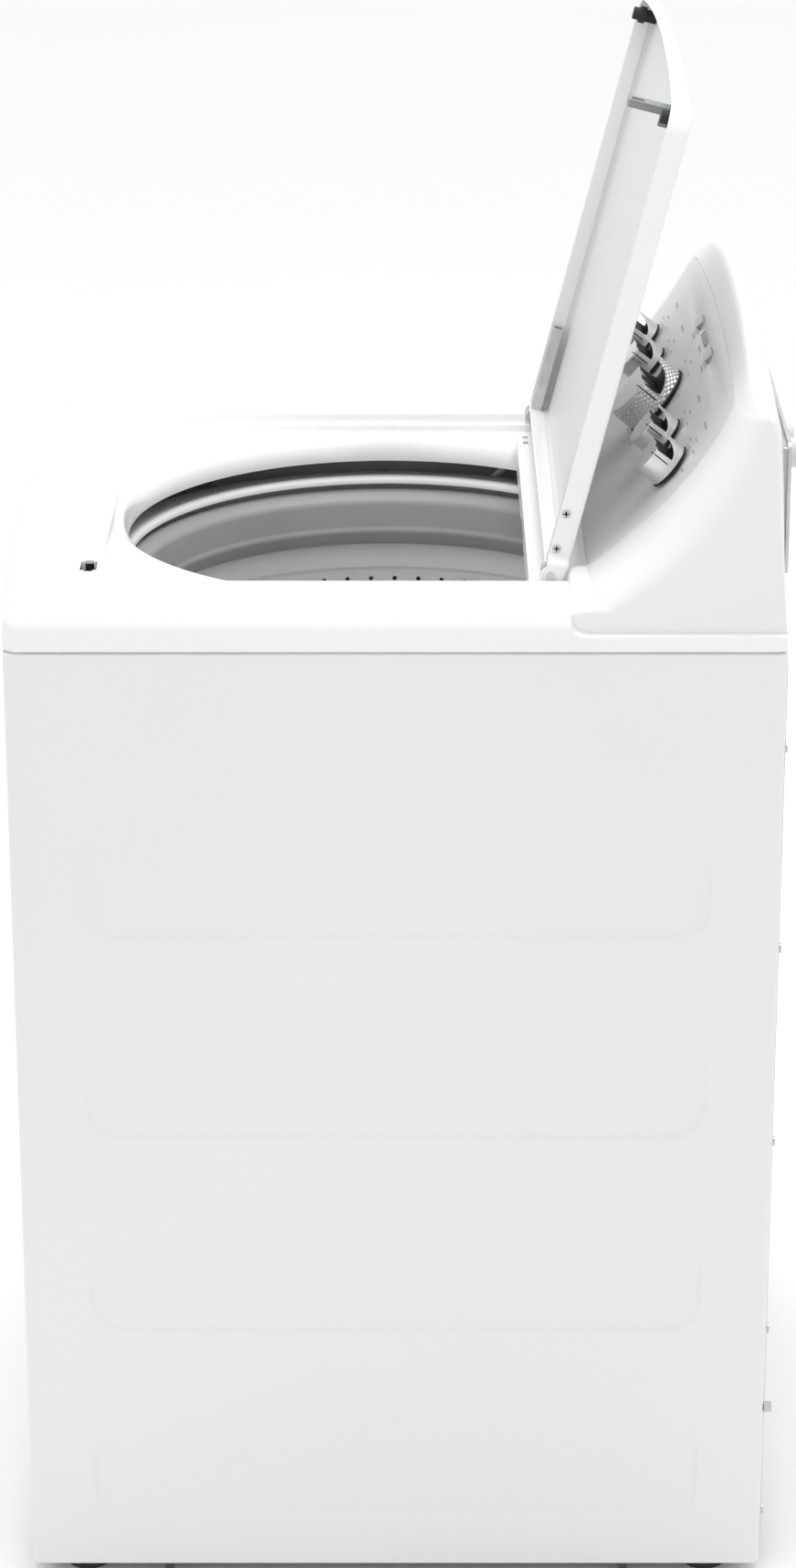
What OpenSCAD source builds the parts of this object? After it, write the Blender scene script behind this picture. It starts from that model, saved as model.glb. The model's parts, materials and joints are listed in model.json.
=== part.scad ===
// Top load washing machine, lid open. Millimetres, +Z up, front towards -Y,
// origin on the floor under the middle of the machine.

/* [Cabinet] */
// Width of the cabinet across its side panels
cab_w = 686; // [676:1:696]
// Depth of the cabinet from front panel to rear panel
cab_d = 680; // [674:1:686]
// Height of the cabinet's bottom edge above the floor
cab_bottom = 16; // [14:1:20]
// Height of the seam between cabinet and top panel
seam_z = 916; // [914:1:918]
// Thickness of the cabinet's sheet steel
sheet = 1.5; // [1:0.1:2]
// Radius of the cabinet's four upright corners
corner_r = 8; // [6:1:12]
// Number of pressed panels down each side
press_rows = 4; // [2:1:4]
// Height of one pressed panel
press_h = 139.5; // [120:0.5:150]
// Width of one pressed panel
press_w = 556; // [500:1:580]
// Depth of the pressing
press_depth = 2; // [1.6:0.1:3]

/* [Top panel] */
// Height of the ridges beside the lid
ridge_z = 962; // [960:1:966]
// Distance from the middle to each ridge
ridge_x = 284; // [280:1:288]
// Height of the ledge that the closed lid rests over
ledge_z = 950; // [948:1:951]
// Height of the dished floor round the opening
dish_z = 942; // [940:1:944]
// How far the middle of the bowed front edge stands out past its corners
nose_bow = 15; // [12:1:16]
// Radius of the opening at its lower lip
mouth_r = 242.5; // [240:0.5:246]
// Distance of the tub's axis in front of the cabinet's middle
axis_y = -8; // [-10:1:-6]

/* [Lid] */
// Width of the lid
lid_w = 524; // [516:1:528]
// Depth of the lid's side walls
lid_h = 20; // [18:1:22]
// Angle the lid stands open, from closed
lid_open = 104.3; // [95:0.1:105]
// Distance of the hinge axis behind the cabinet's middle
hinge_y = 136; // [135:1:137]
// Height of the hinge axis
hinge_z = 962; // [961:1:963]
// Length of the lid from hinge axis to the middle of its front edge
lid_len = 441; // [436:1:442]

/* [Console] */
// Width of the console housing
console_w = 674; // [668:1:676]
// Height of the middle of the console's crown
crown_z = 1164; // [1158:1:1170]
// Tilt of the control face from level
face_tilt = 50.8; // [49:0.1:52]
// Hollow of the control face at mid height
face_sag = 12; // [10:1:14]
// Radius of the four small knobs
knob_r = 21; // [18:1:23]
// Radius of the cycle knob
cycle_r = 35; // [30:1:38]
// Travel of the two push buttons
button_travel = 2; // [1.5:0.1:2.5]

/* [Wash unit] */
// Outer radius of the steel basket
basket_r = 250; // [248:1:252]
// Inner radius of the outer tub
tub_r = 268; // [266:1:270]
// Radius of the wash plate
plate_r = 196; // [185:1:200]
// Number of vanes on the wash plate
vanes = 6; // [4:1:8]
// Distance from the middle to each suspension rod, across and along
rod_x = 290; // [286:1:292]
rod_y = 280; // [276:1:282]
// Radius of the driven pulley
driven_r = 80; // [76:1:82]
// Radius of the motor pulley
motor_r = 21; // [18:1:24]

/* [Hidden] */
eps = 0.01;
gap = 0.3;

top_w = cab_w + 1;
skirt_z = seam_z + 1;
shoulder_z = 934;
shell_t = 2;
nose_y = -cab_d / 2 - nose_bow;
nose_r = (cab_w * cab_w / 4 + nose_bow * nose_bow) / (2 * nose_bow);
nose_run = 24;
deck_z = 932;
deck_y = 151.5;
recess_x = 270;
recess_front = -311;
dish_x = 262;
dish_front = -262;
lip_r = 22;
sill_front = 118;
sill_back = 150;

rim_z = hinge_z - 6.5;
lid_top = rim_z + lid_h;
lid_front = hinge_y - lid_len;
lid_back = 130;
lid_bow_r = 2000;
strike_x = 200;
strike_y = hinge_y - 409.5;
bumper_x = 240;
bumper_y = hinge_y - 411;
arm_x = 252;
pin_r = 4;

face_y = 168;
face_z = 969;
face_len = 194;
face_half = 262;
face_sheet = 3.2;
face_mid = face_len / 2 + 4.5;
face_arc_r = (face_mid * face_mid + face_sag * face_sag) / (2 * face_sag);
console_back = 339;
knob_t = 106.5;
knob_n = -8.8;
knob_xs = [-215, -125, 0, 125, 215];
button_x = 60;
button_t = 180;
shaft_r = 3;
running = 0.06;

inlet_z = 1055;
inlet_xs = [150, 200];
rear_reach = cab_d / 2 + nose_bow;
outlet_x = -180;
outlet_z = 972;
hose_y = 316;
bolt_z = 928;

tub_floor = 236;
tub_rim = 874;
tub_wall = 4;
bracket_z = 380;
rod_foot_z = 290;
brace_z = 886;
rod_angle = atan2(rod_y, rod_x);
rod_reach = sqrt(rod_x * rod_x + rod_y * rod_y);
basket_floor = 296;
ring_low = 836;
tube_r = 16;
drive_r = 9;
pulley_z = 76;
pulley_h = 18;
motor_y = 185;
pump_x = -150;
pump_y = 105;
foot_x = 305;
foot_y = 290;

// ---------- shared shapes ----------

module rounded_rect(w, d, r) {
    square([w - 2 * r, d], center = true);
    square([w, d - 2 * r], center = true);
    for (sx = [-1, 1], sy = [-1, 1])
        translate([sx * (w / 2 - r), sy * (d / 2 - r)]) circle(r, $fn = 48);
}

module rounded_plate(w, d, h, r) {
    linear_extrude(h) rounded_rect(w, d, r);
}

// A flat shape drawn in Y and Z, extruded along +X
module along_x(length) {
    rotate([90, 0, 90]) linear_extrude(length) children();
}

// A cylinder along +Y
module rod_y_axis(r, length, sides = 48) {
    rotate([-90, 0, 0]) cylinder(r = r, h = length, $fn = sides);
}

module ring(r_out, r_in, h, sides = 96) {
    difference() {
        cylinder(r = r_out, h = h, $fn = sides);
        translate([0, 0, -1]) cylinder(r = r_in, h = h + 2, $fn = sides);
    }
}

module on_tub_axis() {
    translate([0, axis_y, 0]) children();
}

module at_corners(x, y) {
    for (sx = [-1, 1], sy = [-1, 1]) translate([sx * x, sy * y, 0]) children();
}

// Places a part drawn on the closed lid at the angle the lid stands open
module lid_pose() {
    translate([0, hinge_y, hinge_z]) rotate([-lid_open, 0, 0])
        translate([0, -hinge_y, -hinge_z]) children();
}

// Places a part drawn flat on the control face: X across, Y up the face, Z out of it
module face_pose() {
    translate([0, face_y, face_z]) rotate([face_tilt, 0, 0]) children();
}

// A coil spring round +Z, standing on z = 0
function coil_ring(a, pitch, mean_r, wire_r, sides) = [
    for (k = [0 : sides - 1])
        let (b = 360 * k / sides, r = mean_r + wire_r * cos(b))
            [r * cos(a), r * sin(a), wire_r + pitch * a / 360 + wire_r * sin(b)]
];

// A tube along a list of rings of points, closed at both ends
module ring_tube(rings) {
    n = len(rings[0]);
    last = len(rings) - 1;
    polyhedron(
        points = [for (r = rings, p = r) p],
        faces = concat(
            [[for (k = [n - 1 : -1 : 0]) k]],
            [for (i = [0 : last - 1], k = [0 : n - 1])
                [i * n + k, i * n + (k + 1) % n, (i + 1) * n + (k + 1) % n, (i + 1) * n + k]],
            [[for (k = [0 : n - 1]) last * n + k]]
        ),
        convexity = 8
    );
}

module coil_spring(mean_r, wire_r, height, turns, steps = 14, sides = 6) {
    pitch = (height - 2 * wire_r) / turns;
    ring_tube([
        for (i = [0 : turns * steps]) coil_ring(360 * i / steps, pitch, mean_r, wire_r, sides)
    ]);
}

// ---------- cabinet ----------

press_pitch = 194.6;
press_low = 66;
press_r = 30;

module side_pressings(grow, x, depth) {
    for (row = [0 : press_rows - 1])
        translate([x, 0, press_low + press_h / 2 + row * press_pitch])
            along_x(depth) rounded_rect(press_w + grow, press_h + grow, press_r + grow / 2);
}

// A flange round the top of the cabinet, stepped in to stand inside the top panel's skirt
module cabinet_tongue(z, h, out, in) {
    translate([0, 0, z]) difference() {
        rounded_plate(cab_w - 2 * out, cab_d - 2 * out, h, corner_r - 1.5);
        translate([0, 0, -1]) rounded_plate(cab_w - 2 * in, cab_d - 2 * in, h + 2, corner_r - 3);
        translate([0, 0, seam_z - 0.5 - z]) difference() {
            rounded_plate(cab_w + 40, cab_d + 40, 40, 4);
            translate([0, 0, -1])
                rounded_plate(cab_w - 2 * out, cab_d - 2 * out, 42, 13);
        }
    }
}

module cabinet_shell() {
    rear_open = cab_w - 60;
    pad = press_depth + sheet - 0.5;
    color("gainsboro") difference() {
        union() {
            difference() {
                translate([0, 0, cab_bottom])
                    rounded_plate(cab_w, cab_d, seam_z - cab_bottom, corner_r);
                translate([0, 0, cab_bottom - 1])
                    rounded_plate(cab_w - 2 * sheet, cab_d - 2 * sheet,
                                  seam_z - cab_bottom + 2, corner_r - sheet);
            }
            side_pressings(4, cab_w / 2 - pad, pad - eps);
            mirror([1, 0, 0]) side_pressings(4, cab_w / 2 - pad, pad - eps);
            cabinet_tongue(seam_z - 14, 6, sheet - 0.2, 4.5);
            cabinet_tongue(seam_z - 9, 20, 3, 4.5);
        }
        side_pressings(0, cab_w / 2 - press_depth, press_depth + 1);
        mirror([1, 0, 0]) side_pressings(0, cab_w / 2 - press_depth, press_depth + 1);
        translate([-rear_open / 2, cab_d / 2 - 20, cab_bottom - 1])
            cube([rear_open, 40, seam_z - cab_bottom + 2]);
    }
}

module rear_panel() {
    w = cab_w - 36;
    low = 24;
    high = seam_z - 8;
    color("silver") difference() {
        union() {
            translate([0, cab_d / 2, (low + high) / 2]) rotate([-90, 0, 0])
                rounded_plate(w, high - low, sheet, 12);
            for (z = [240, 480, 720])
                translate([0, cab_d / 2 - 3, z]) rotate([-90, 0, 0])
                    rounded_plate(w - 120, 120, 3 + eps, 20);
        }
        for (z = [240, 480, 720])
            translate([0, cab_d / 2 - 3 + sheet, z]) rotate([-90, 0, 0])
                rounded_plate(w - 124, 116, 8, 18);
    }
}

module base_frame() {
    w = cab_w - 2 * sheet - 1;
    d = cab_d - 2 * sheet - 1;
    flange = 46;
    low = cab_bottom + 2;
    high = 49;
    color("dimgray") difference() {
        union() {
            difference() {
                translate([0, 0, low]) rounded_plate(w, d, high - low, 7);
                translate([0, 0, low - 1]) rounded_plate(w - 5, d - 5, high - low - 2, 5);
                translate([0, 0, low - 2])
                    rounded_plate(w - 2 * flange, d - 2 * flange, high, 12);
            }
            for (turn = [0 : 3]) rotate([0, 0, 90 * turn])
                translate([turn % 2 == 0 ? w / 2 - flange : d / 2 - flange, -150, 30])
                    cube([2.5, 300, high - 30]);
            at_corners(foot_x, foot_y) translate([0, 0, high - 1]) cylinder(r = 11, h = 11, $fn = 48);
            for (sx = [-1, 1], sy = [-1, 1])
                translate([sx * (w / 2 - 3) - 3, sy * 212 - 4, 9]) cube([6, 8, 12]);
        }
        at_corners(foot_x, foot_y) cylinder(r = 5.2, h = 80, $fn = 48);
    }
}

module corner_braces() {
    leg = 150;
    x = cab_w / 2 - sheet;
    y = cab_d / 2 - sheet;
    color("darkgray") difference() {
        for (sx = [0, 1], sy = [0, 1]) mirror([sx, 0, 0]) mirror([0, sy, 0])
            union() {
                translate([0, 0, brace_z]) linear_extrude(3)
                    polygon([[x - 7, y], [x, y - 7], [x, y - leg], [x - leg, y]]);
                translate([x - 2.5, y - leg, brace_z - 24]) cube([2.5, leg - 10, 26]);
                translate([x - leg, y - 2.5, brace_z - 24]) cube([leg - 10, 2.5, 26]);
            }
        on_tub_axis() at_corners(rod_x, rod_y)
            translate([0, 0, brace_z - 5]) cylinder(r = 6, h = 15, $fn = 48);
    }
}

module foot_pads() {
    color("#2b2b2b") at_corners(foot_x, foot_y) rotate_extrude($fn = 64)
        polygon([[0, 0], [20, 0], [22, 2], [22, 8], [18, 12], [0, 12]]);
}

module foot_studs() {
    color("lightgray") at_corners(foot_x, foot_y) translate([0, 0, 12]) {
        cylinder(r = 10, h = 4, $fn = 6);
        cylinder(r = 5, h = 62, $fn = 48);
    }
}

module foot_locknuts() {
    color("silver") at_corners(foot_x, foot_y) translate([0, 0, 37.5]) difference() {
        cylinder(r = 9.5, h = 8, $fn = 6);
        translate([0, 0, -1]) cylinder(r = 5.1, h = 10, $fn = 48);
    }
}

module panel_screw(x, z) {
    translate([x, cab_d / 2 + sheet, z]) rod_y_axis(4.5, 2.6, 32);
}

module panel_screws() {
    x = cab_w / 2 - 26;
    color("gray") {
        for (sx = [-1, 1], z = [60, 250, 440, 630, 820]) panel_screw(sx * x, z);
        for (px = [-200, 0, 200], z = [34, seam_z - 18]) panel_screw(px, z);
        translate([cab_w / 2 - 8, cab_d / 2, 178]) rod_y_axis(5, 7, 6);
    }
}

// ---------- top panel ----------

shoulder_steps = 10;

// Half of the cross-section over the width: skirt, rounded shoulder, ridge
module shoulder_profile(inset) {
    run = top_w / 2 - ridge_x;
    rise = ridge_z - shoulder_z;
    edge = [for (i = [0 : shoulder_steps]) let (a = 90 * i / shoulder_steps)
        [ridge_x + (run - inset) * cos(a), shoulder_z + (rise - inset) * sin(a)]];
    mirrored = [for (i = [shoulder_steps : -1 : 0]) [-edge[i][0], edge[i][1]]];
    polygon(concat([[top_w / 2 - inset, skirt_z - inset]], edge, mirrored,
                   [[-top_w / 2 + inset, skirt_z - inset]]));
}

module shoulder_bar(inset, y0, y1) {
    translate([0, y1, 0]) rotate([90, 0, 0]) linear_extrude(y1 - y0) shoulder_profile(inset);
}

// The bowed nose: its side profile swept on a wide arc about an upright axis
module nose_sweep(inset) {
    rise = ridge_z - shoulder_z + 10;
    edge = [for (i = [0 : shoulder_steps]) let (a = 90 * i / shoulder_steps)
        [nose_r - nose_run + (nose_run - inset) * cos(a),
         ridge_z - rise + (rise - inset) * sin(a)]];
    translate([0, nose_y + nose_r, 0]) rotate([0, 0, -96])
        rotate_extrude(angle = 12, $fn = 720)
            polygon(concat([[nose_r - 760, skirt_z - inset], [nose_r - inset, skirt_z - inset]],
                           edge, [[nose_r - 760, ridge_z - inset]]));
}

module top_form(inset) {
    intersection() {
        shoulder_bar(inset, -400, cab_d / 2 - inset);
        nose_sweep(inset);
        translate([0, -nose_bow / 2, skirt_z - 10])
            rounded_plate(top_w - 2 * inset, cab_d + nose_bow - 2 * inset, 80, 14 - inset);
    }
}

// Everything that is pressed down into the top: lid recess, dish and rear deck
module top_recess(grow) {
    y1 = deck_y + 44;
    translate([0, 0, ledge_z - grow]) linear_extrude(60) intersection() {
        translate([0, (recess_front + y1) / 2])
            rounded_rect(2 * recess_x + 2 * grow, y1 - recess_front + 2 * grow, 34 + grow);
        translate([0, recess_front + lid_bow_r]) circle(lid_bow_r + grow, $fn = 1080);
    }
    translate([0, (dish_front + sill_back) / 2, dish_z - grow])
        rounded_plate(2 * dish_x + 2 * grow, sill_back - dish_front + 2 * grow, 60, 30 + grow);
    translate([-400, deck_y - grow, deck_z - grow]) cube([800, 300, 80]);
}

module mouth_lip() {
    on_tub_axis() translate([0, 0, dish_z - lip_r]) rotate_extrude($fn = 180)
        translate([mouth_r + lip_r, 0]) intersection() {
            difference() {
                circle(lip_r, $fn = 96);
                circle(lip_r - shell_t, $fn = 96);
            }
            translate([-lip_r - 1, -2]) square([lip_r + 1, lip_r + 4]);
        }
}

module top_panel() {
    mouth_top_r = mouth_r + lip_r;
    color("white") difference() {
        union() {
            difference() {
                top_form(0);
                difference() {
                    top_form(shell_t);
                    top_recess(shell_t);
                }
                top_recess(0);
                on_tub_axis() translate([0, 0, 900]) intersection() {
                    cylinder(r = mouth_top_r, h = 100, $fn = 180);
                    translate([-400, -400, 0]) cube([800, 400 + sill_front - axis_y, 100]);
                }
                translate([-240, sill_front - 1, 900]) cube([480, sill_back - sill_front - 10, 100]);
                for (x = [-arm_x, arm_x])
                    translate([x - 20, hinge_y - 16, 900]) cube([40, 28, 100]);
            }
            intersection() {
                mouth_lip();
                translate([-400, -400, 900]) cube([800, 400 + sill_front, 100]);
            }
        }
        translate([strike_x - 16, strike_y - 7.5, 900]) cube([32, 15, 100]);
        translate([-190, 205, 900]) cube([380, 90, 60]);
        translate([outlet_x, hose_y, 900]) cylinder(r = 18, h = 60, $fn = 48);
    }
}

module rear_sill() {
    z = 949;
    color("white") difference() {
        union() {
            translate([-239, sill_front, 918]) cube([478, 2, z - 918]);
            translate([-239, sill_front, z - 2]) cube([478, sill_back - sill_front - 14, 2]);
            translate([-239, sill_back - 16, dish_z]) cube([478, 2, z - dish_z]);
            for (x = [-160, -54, 52, 158])
                translate([x, sill_front, 918]) cube([2, 16, z - 918]);
        }
        for (x = [-224, -206]) translate([x, 124, z - 5]) cube([10, 5, 12]);
        translate([-45 - gap, 100, 900]) cube([90 + 2 * gap, 100, 28.8]);
    }
}

module hinge_brackets() {
    color("whitesmoke") for (s = [-1, 1]) difference() {
        union() {
            translate([s * 267 - 2, hinge_y - 9, dish_z - 8]) cube([4, 18, hinge_z - dish_z + 8]);
            translate([s * 267 - 2, hinge_y, hinge_z]) rotate([0, 90, 0]) cylinder(r = 9, h = 4, $fn = 64);
            translate([s * 267 - (s > 0 ? 33 : 2), hinge_y - 9, dish_z - 10]) cube([35, 18, 2]);
        }
        translate([s * 267 - 4, hinge_y, hinge_z]) rotate([0, 90, 0])
            cylinder(r = pin_r + running, h = 8, $fn = 64);
    }
}

module lid_lock_housing() {
    low = 905;
    high = ledge_z - shell_t - eps;
    y0 = strike_y - 12;
    y1 = 44;
    under_dish = dish_z - shell_t - 0.2;
    color("#3a3a3c") difference() {
        translate([strike_x - 28, y0, low]) cube([56, y1, high - low]);
        translate([strike_x - 30, dish_front - shell_t - 0.8, under_dish]) cube([60, 60, 20]);
        translate([strike_x - 16, strike_y - 7.5, low + 4]) cube([32, 15, 60]);
        translate([strike_x - 4 - gap, strike_y + 3, bolt_z - gap])
            cube([8 + 2 * gap, 26, 8 + 2 * gap]);
        translate([strike_x - 4 - gap, y0 + 2, bolt_z - gap]) cube([8 + 2 * gap, 10, 8 + 2 * gap]);
    }
}

module lock_bolt() {
    color("#c9ccd0") translate([strike_x - 4, strike_y + 5.5, bolt_z]) cube([8, 22, 8]);
}

// ---------- lid, drawn closed ----------

module lid_outline(inset) {
    rear = lid_back - inset;
    front = lid_front + inset;
    intersection() {
        translate([0, (rear + front) / 2])
            rounded_rect(lid_w - 2 * inset, rear - front, 26 - inset);
        translate([0, lid_front + lid_bow_r]) circle(lid_bow_r - inset, $fn = 1080);
    }
}

module lid_panel() {
    color("white") lid_pose() difference() {
        translate([0, 0, rim_z]) linear_extrude(lid_h) lid_outline(0);
        translate([0, 0, rim_z - 1]) linear_extrude(lid_h - 1) lid_outline(2);
        for (x = [-arm_x, arm_x])
            translate([x - 6.5, lid_back - 20, rim_z - 1]) cube([13, 32, 16]);
    }
}

module lid_strike() {
    low = 923.5;
    color("#8d9094") lid_pose() difference() {
        union() {
            translate([strike_x - 10, strike_y - 3.5, low]) cube([20, 7, lid_top - 2 - low]);
            translate([strike_x - 18, strike_y - 9, lid_top - 5]) cube([36, 26, 3]);
            translate([strike_x - 1.5, strike_y + 3, rim_z - 2]) cube([3, 12, 19]);
        }
        translate([strike_x - 5, strike_y - 10, bolt_z - 1.5]) cube([10, 20, 11]);
    }
}

module lid_bumpers() {
    color("#2f3033") lid_pose() for (x = [-bumper_x, bumper_x])
        translate([x, bumper_y, ledge_z + gap]) {
            cylinder(r = 6, h = lid_top - 2 - ledge_z - gap, $fn = 40);
            translate([0, 0, 6]) cylinder(r = 8, h = 6, $fn = 40);
        }
}

module hinge_arm(x) {
    difference() {
        union() {
            translate([x - 5, hinge_y - 92, rim_z + 1]) cube([10, 86, 2]);
            for (side = [-5, 3]) translate([x + side, hinge_y - 92, rim_z + 1]) cube([2, 86, 10]);
            translate([x - 5, hinge_y, hinge_z]) rotate([0, 90, 0]) cylinder(r = 8, h = 10, $fn = 64);
        }
        translate([x - 6, hinge_y, hinge_z]) rotate([0, 90, 0]) cylinder(r = pin_r, h = 12, $fn = 64);
    }
}

module hinge_arms() {
    color("#9a9da1") lid_pose() for (x = [-arm_x, arm_x]) hinge_arm(x);
}

module hinge_pins() {
    color("lightgray") lid_pose() for (s = [-1, 1])
        translate([s > 0 ? arm_x - 7 : -arm_x - 19.5, hinge_y, hinge_z]) rotate([0, 90, 0])
            cylinder(r = pin_r, h = 26.5, $fn = 64);
}

module lid_screws() {
    color("gray") lid_pose() for (s = [-1, 1], along = [24, 56.6])
        translate([s * (lid_w / 2 + 0.7), hinge_y - along, rim_z + 5.8]) rotate([0, 90, 0])
            cylinder(r = 4, h = 1.4, center = true, $fn = 40);
}

// ---------- console ----------

// Rows run up the front, over the crown and down the rear; columns run across.
// A column with |c| <= face_zone crosses the face and the rear cover.
face_s = [0, 0.012, 0.04, 0.12, 0.25, 0.4, 0.55, 0.7, 0.82, 0.9, 0.955, 0.986, 1];
face_cells = len(face_s) - 1;
face_first = 2;
rear_first = face_first + face_cells + 4;
face_cols = 10;
band_cols = 7;
face_zone = 0.8;
crown_rise = crown_z - 1126;
cover_low = 977;
cover_high = 1087;
cover_half = 296;

function bend(s, r, reach) =
    let (t = max(0, r - s * reach)) r - sqrt(max(0, r * r - t * t));
function face_w(s) = face_half + 18 * sin(180 * min(1, max(0, (s - 0.25) / 1.1)))
    - bend(s, 8, face_len) - bend(1 - s, 22, face_len);
function arch(x) = 1 - (x / 300) * (x / 300);
function face_top(x) = face_len + 12 * arch(x);
function face_point(t, n) = [
    face_y + t * cos(face_tilt) - n * sin(face_tilt),
    face_z + t * sin(face_tilt) + n * cos(face_tilt)
];
function face_depth(t) =
    face_arc_r - face_sag - sqrt(face_arc_r * face_arc_r - (t - face_mid) * (t - face_mid));
function side_curve(s) =
    let (a = 17 + 73 * s) [135 + 183 * sin(a), deck_z + 191 * pow(1 - cos(a), 0.75)];
function shoulder_height(x) =
    let (q = max(0, abs(x) - ridge_x) / (top_w / 2 - ridge_x))
        shoulder_z + (ridge_z - shoulder_z) * sqrt(max(0, 1 - q * q));

// One section of the console as [y, z] points: across the face, and at its ends
function front_rows(x, wall) = concat(
    [[152 + wall, deck_z], [152 + wall, 952 - wall / 2]],
    [for (s = face_s) let (t = s * face_top(x)) face_point(t, face_depth(t) - wall)],
    [[307, 1127 + crown_rise * arch(x) - wall],
     [318, 1123 + (crown_rise - 3) * arch(x) - wall],
     [327 - wall, 1112 + (crown_rise - 4) * arch(x) - wall],
     [333 - wall, cover_high], [337.3 - wall, cover_low], [console_back - wall, deck_z]]
);
function end_rows(wall) = concat(
    [[152 + wall, deck_z], [152 + wall, shoulder_height(console_w / 2) - wall]],
    [for (s = face_s) side_curve(s) + [wall, -wall]],
    [[319 - wall, 1122 - wall], [320 - wall, 1120 - wall], [321 - wall, 1115 - wall],
     [323 - wall, cover_high], [334 - wall, cover_low], [console_back - wall, deck_z]]
);
row_w = concat([face_half, face_half], [for (s = face_s) face_w(s)],
               [266, 278, 290, cover_half, cover_half, cover_half]);

function console_column(c, wall) =
    let (half = console_w / 2 - wall, side = c < 0 ? -1 : 1, in_face = min(1, abs(c) / face_zone),
         b = 90 * max(0, (abs(c) - face_zone) / (1 - face_zone)),
         near = front_rows(in_face * face_half, wall), far = end_rows(wall))
    [for (i = [0 : len(near) - 1])
        let (w = row_w[i], x = in_face * w + (half - w) * sin(b),
             p = near[i] + (far[i] - near[i]) * (1 - cos(b)),
             ridge = i == 1 && b > 0 ? shoulder_height(x) - wall / 2 : p[1])
            [side * x, p[0], ridge]];

console_cs = concat(
    [for (i = [band_cols : -1 : 1]) -face_zone - (1 - face_zone) * i / band_cols],
    [for (i = [-face_cols : face_cols]) face_zone * i / face_cols],
    [for (i = [1 : band_cols]) face_zone + (1 - face_zone) * i / band_cols]
);
console_rows = face_first + face_cells + 7;

face_end = face_first + face_cells;
mid_cells = [band_cols, band_cols + 2 * face_cols];
left_end = [[0, band_cols, 0, console_rows - 1]];
right_end = [[mid_cells[1], len(console_cs) - 1, 0, console_rows - 1]];
crown = [[mid_cells[0], mid_cells[1], face_end, rear_first]];
front_rail = [[mid_cells[0], mid_cells[1], 0, face_first]];
rear_rail = [[mid_cells[0], mid_cells[1], rear_first + 1, console_rows - 1]];

// True where the cell at column c and row r belongs to one of the patches
function in_patch(patches, c, r) =
    len([for (p = patches) if (c >= p[0] && c < p[1] && r >= p[2] && r < p[3]) 1]) > 0;

// Part of the console's sheet: an outer and an inner skin, its edges closed all round
module console_sheet(patches) {
    skins = [for (wall = [0, 3.5], c = console_cs) for (p = console_column(c, wall)) p];
    n = console_rows;
    half = len(console_cs) * n;
    last_c = len(console_cs) - 1;
    end_c = last_c * n;
    polyhedron(
        points = skins,
        faces = [
            for (p = patches, c = [p[0] : p[1] - 1], r = [p[2] : p[3] - 1])
                let (a = c * n + r, q = [a, a + n, a + n + 1, a + 1],
                     edge = [[c, r - 1], [c + 1, r], [c, r + 1], [c - 1, r]])
                    each concat(
                        [[q[0], q[1], q[2]], [q[0], q[2], q[3]]],
                        [[q[2] + half, q[1] + half, q[0] + half],
                         [q[3] + half, q[2] + half, q[0] + half]],
                        [for (k = [0 : 3])
                            if (edge[k][0] >= 0 && edge[k][0] < last_c
                                && !in_patch(patches, edge[k][0], edge[k][1]))
                            let (u = q[k], v = q[(k + 1) % 4]) each u < v
                                ? [[v, u, u + half], [v, u + half, v + half]]
                                : [[v, u, v + half], [u, u + half, v + half]]]
                    ),
            if (patches == left_end) [for (r = [0 : n - 1]) r],
            if (patches == left_end) [for (r = [n - 1 : -1 : 0]) r + half],
            if (patches == left_end) [0, n - 1, n - 1 + half, half],
            if (patches == right_end) [for (r = [n - 1 : -1 : 0]) end_c + r],
            if (patches == right_end) [for (r = [0 : n - 1]) end_c + r + half],
            if (patches == right_end) [end_c + n - 1, end_c, end_c + half, end_c + n - 1 + half]
        ],
        convexity = 10
    );
}

// The two moulded ends that the rest of the console joins
module console_ends() {
    color("white") {
        console_sheet(left_end);
        console_sheet(right_end);
    }
}

module console_crown() {
    color("white") console_sheet(crown);
}

module console_rails() {
    color("white") {
        console_sheet(front_rail);
        console_sheet(rear_rail);
    }
}

module face_outline(inset) {
    n = face_cells;
    right = [for (i = [0 : n]) let (w = face_w(face_s[i]) - inset)
        [w, min(max(inset, face_s[i] * face_top(face_half)), face_top(face_half) - inset)]];
    left = [for (i = [n : -1 : 0]) [-right[i][0], right[i][1]]];
    end_w = face_w(1) - inset;
    top = [for (i = [face_cols - 1 : -1 : 1 - face_cols]) let (c = i / face_cols)
        [c * end_w, face_top(c * face_half) - inset]];
    polygon(concat(right, top, left));
}

module face_panel() {
    color("#c4c6c8") face_pose() difference() {
        intersection() {
            translate([0, 0, -24]) linear_extrude(60) face_outline(0.3);
            translate([-330, face_mid, face_arc_r - face_sag]) rotate([0, 90, 0]) difference() {
                cylinder(r = face_arc_r + face_sheet, h = 660, $fn = 360);
                translate([0, 0, -1]) cylinder(r = face_arc_r, h = 662, $fn = 360);
            }
        }
        for (x = knob_xs) translate([x, knob_t, -40]) cylinder(r = shaft_r + running, h = 60, $fn = 48);
        for (s = [-1, 1]) translate([s * button_x, button_t, -30])
            rounded_plate(28.6, 10.6, 60, 5.2);
        for (i = [-2 : 2]) translate([i * 9, button_t, -30]) rounded_plate(3.4, 7.4, 60, 1.6);
    }
}

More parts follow.
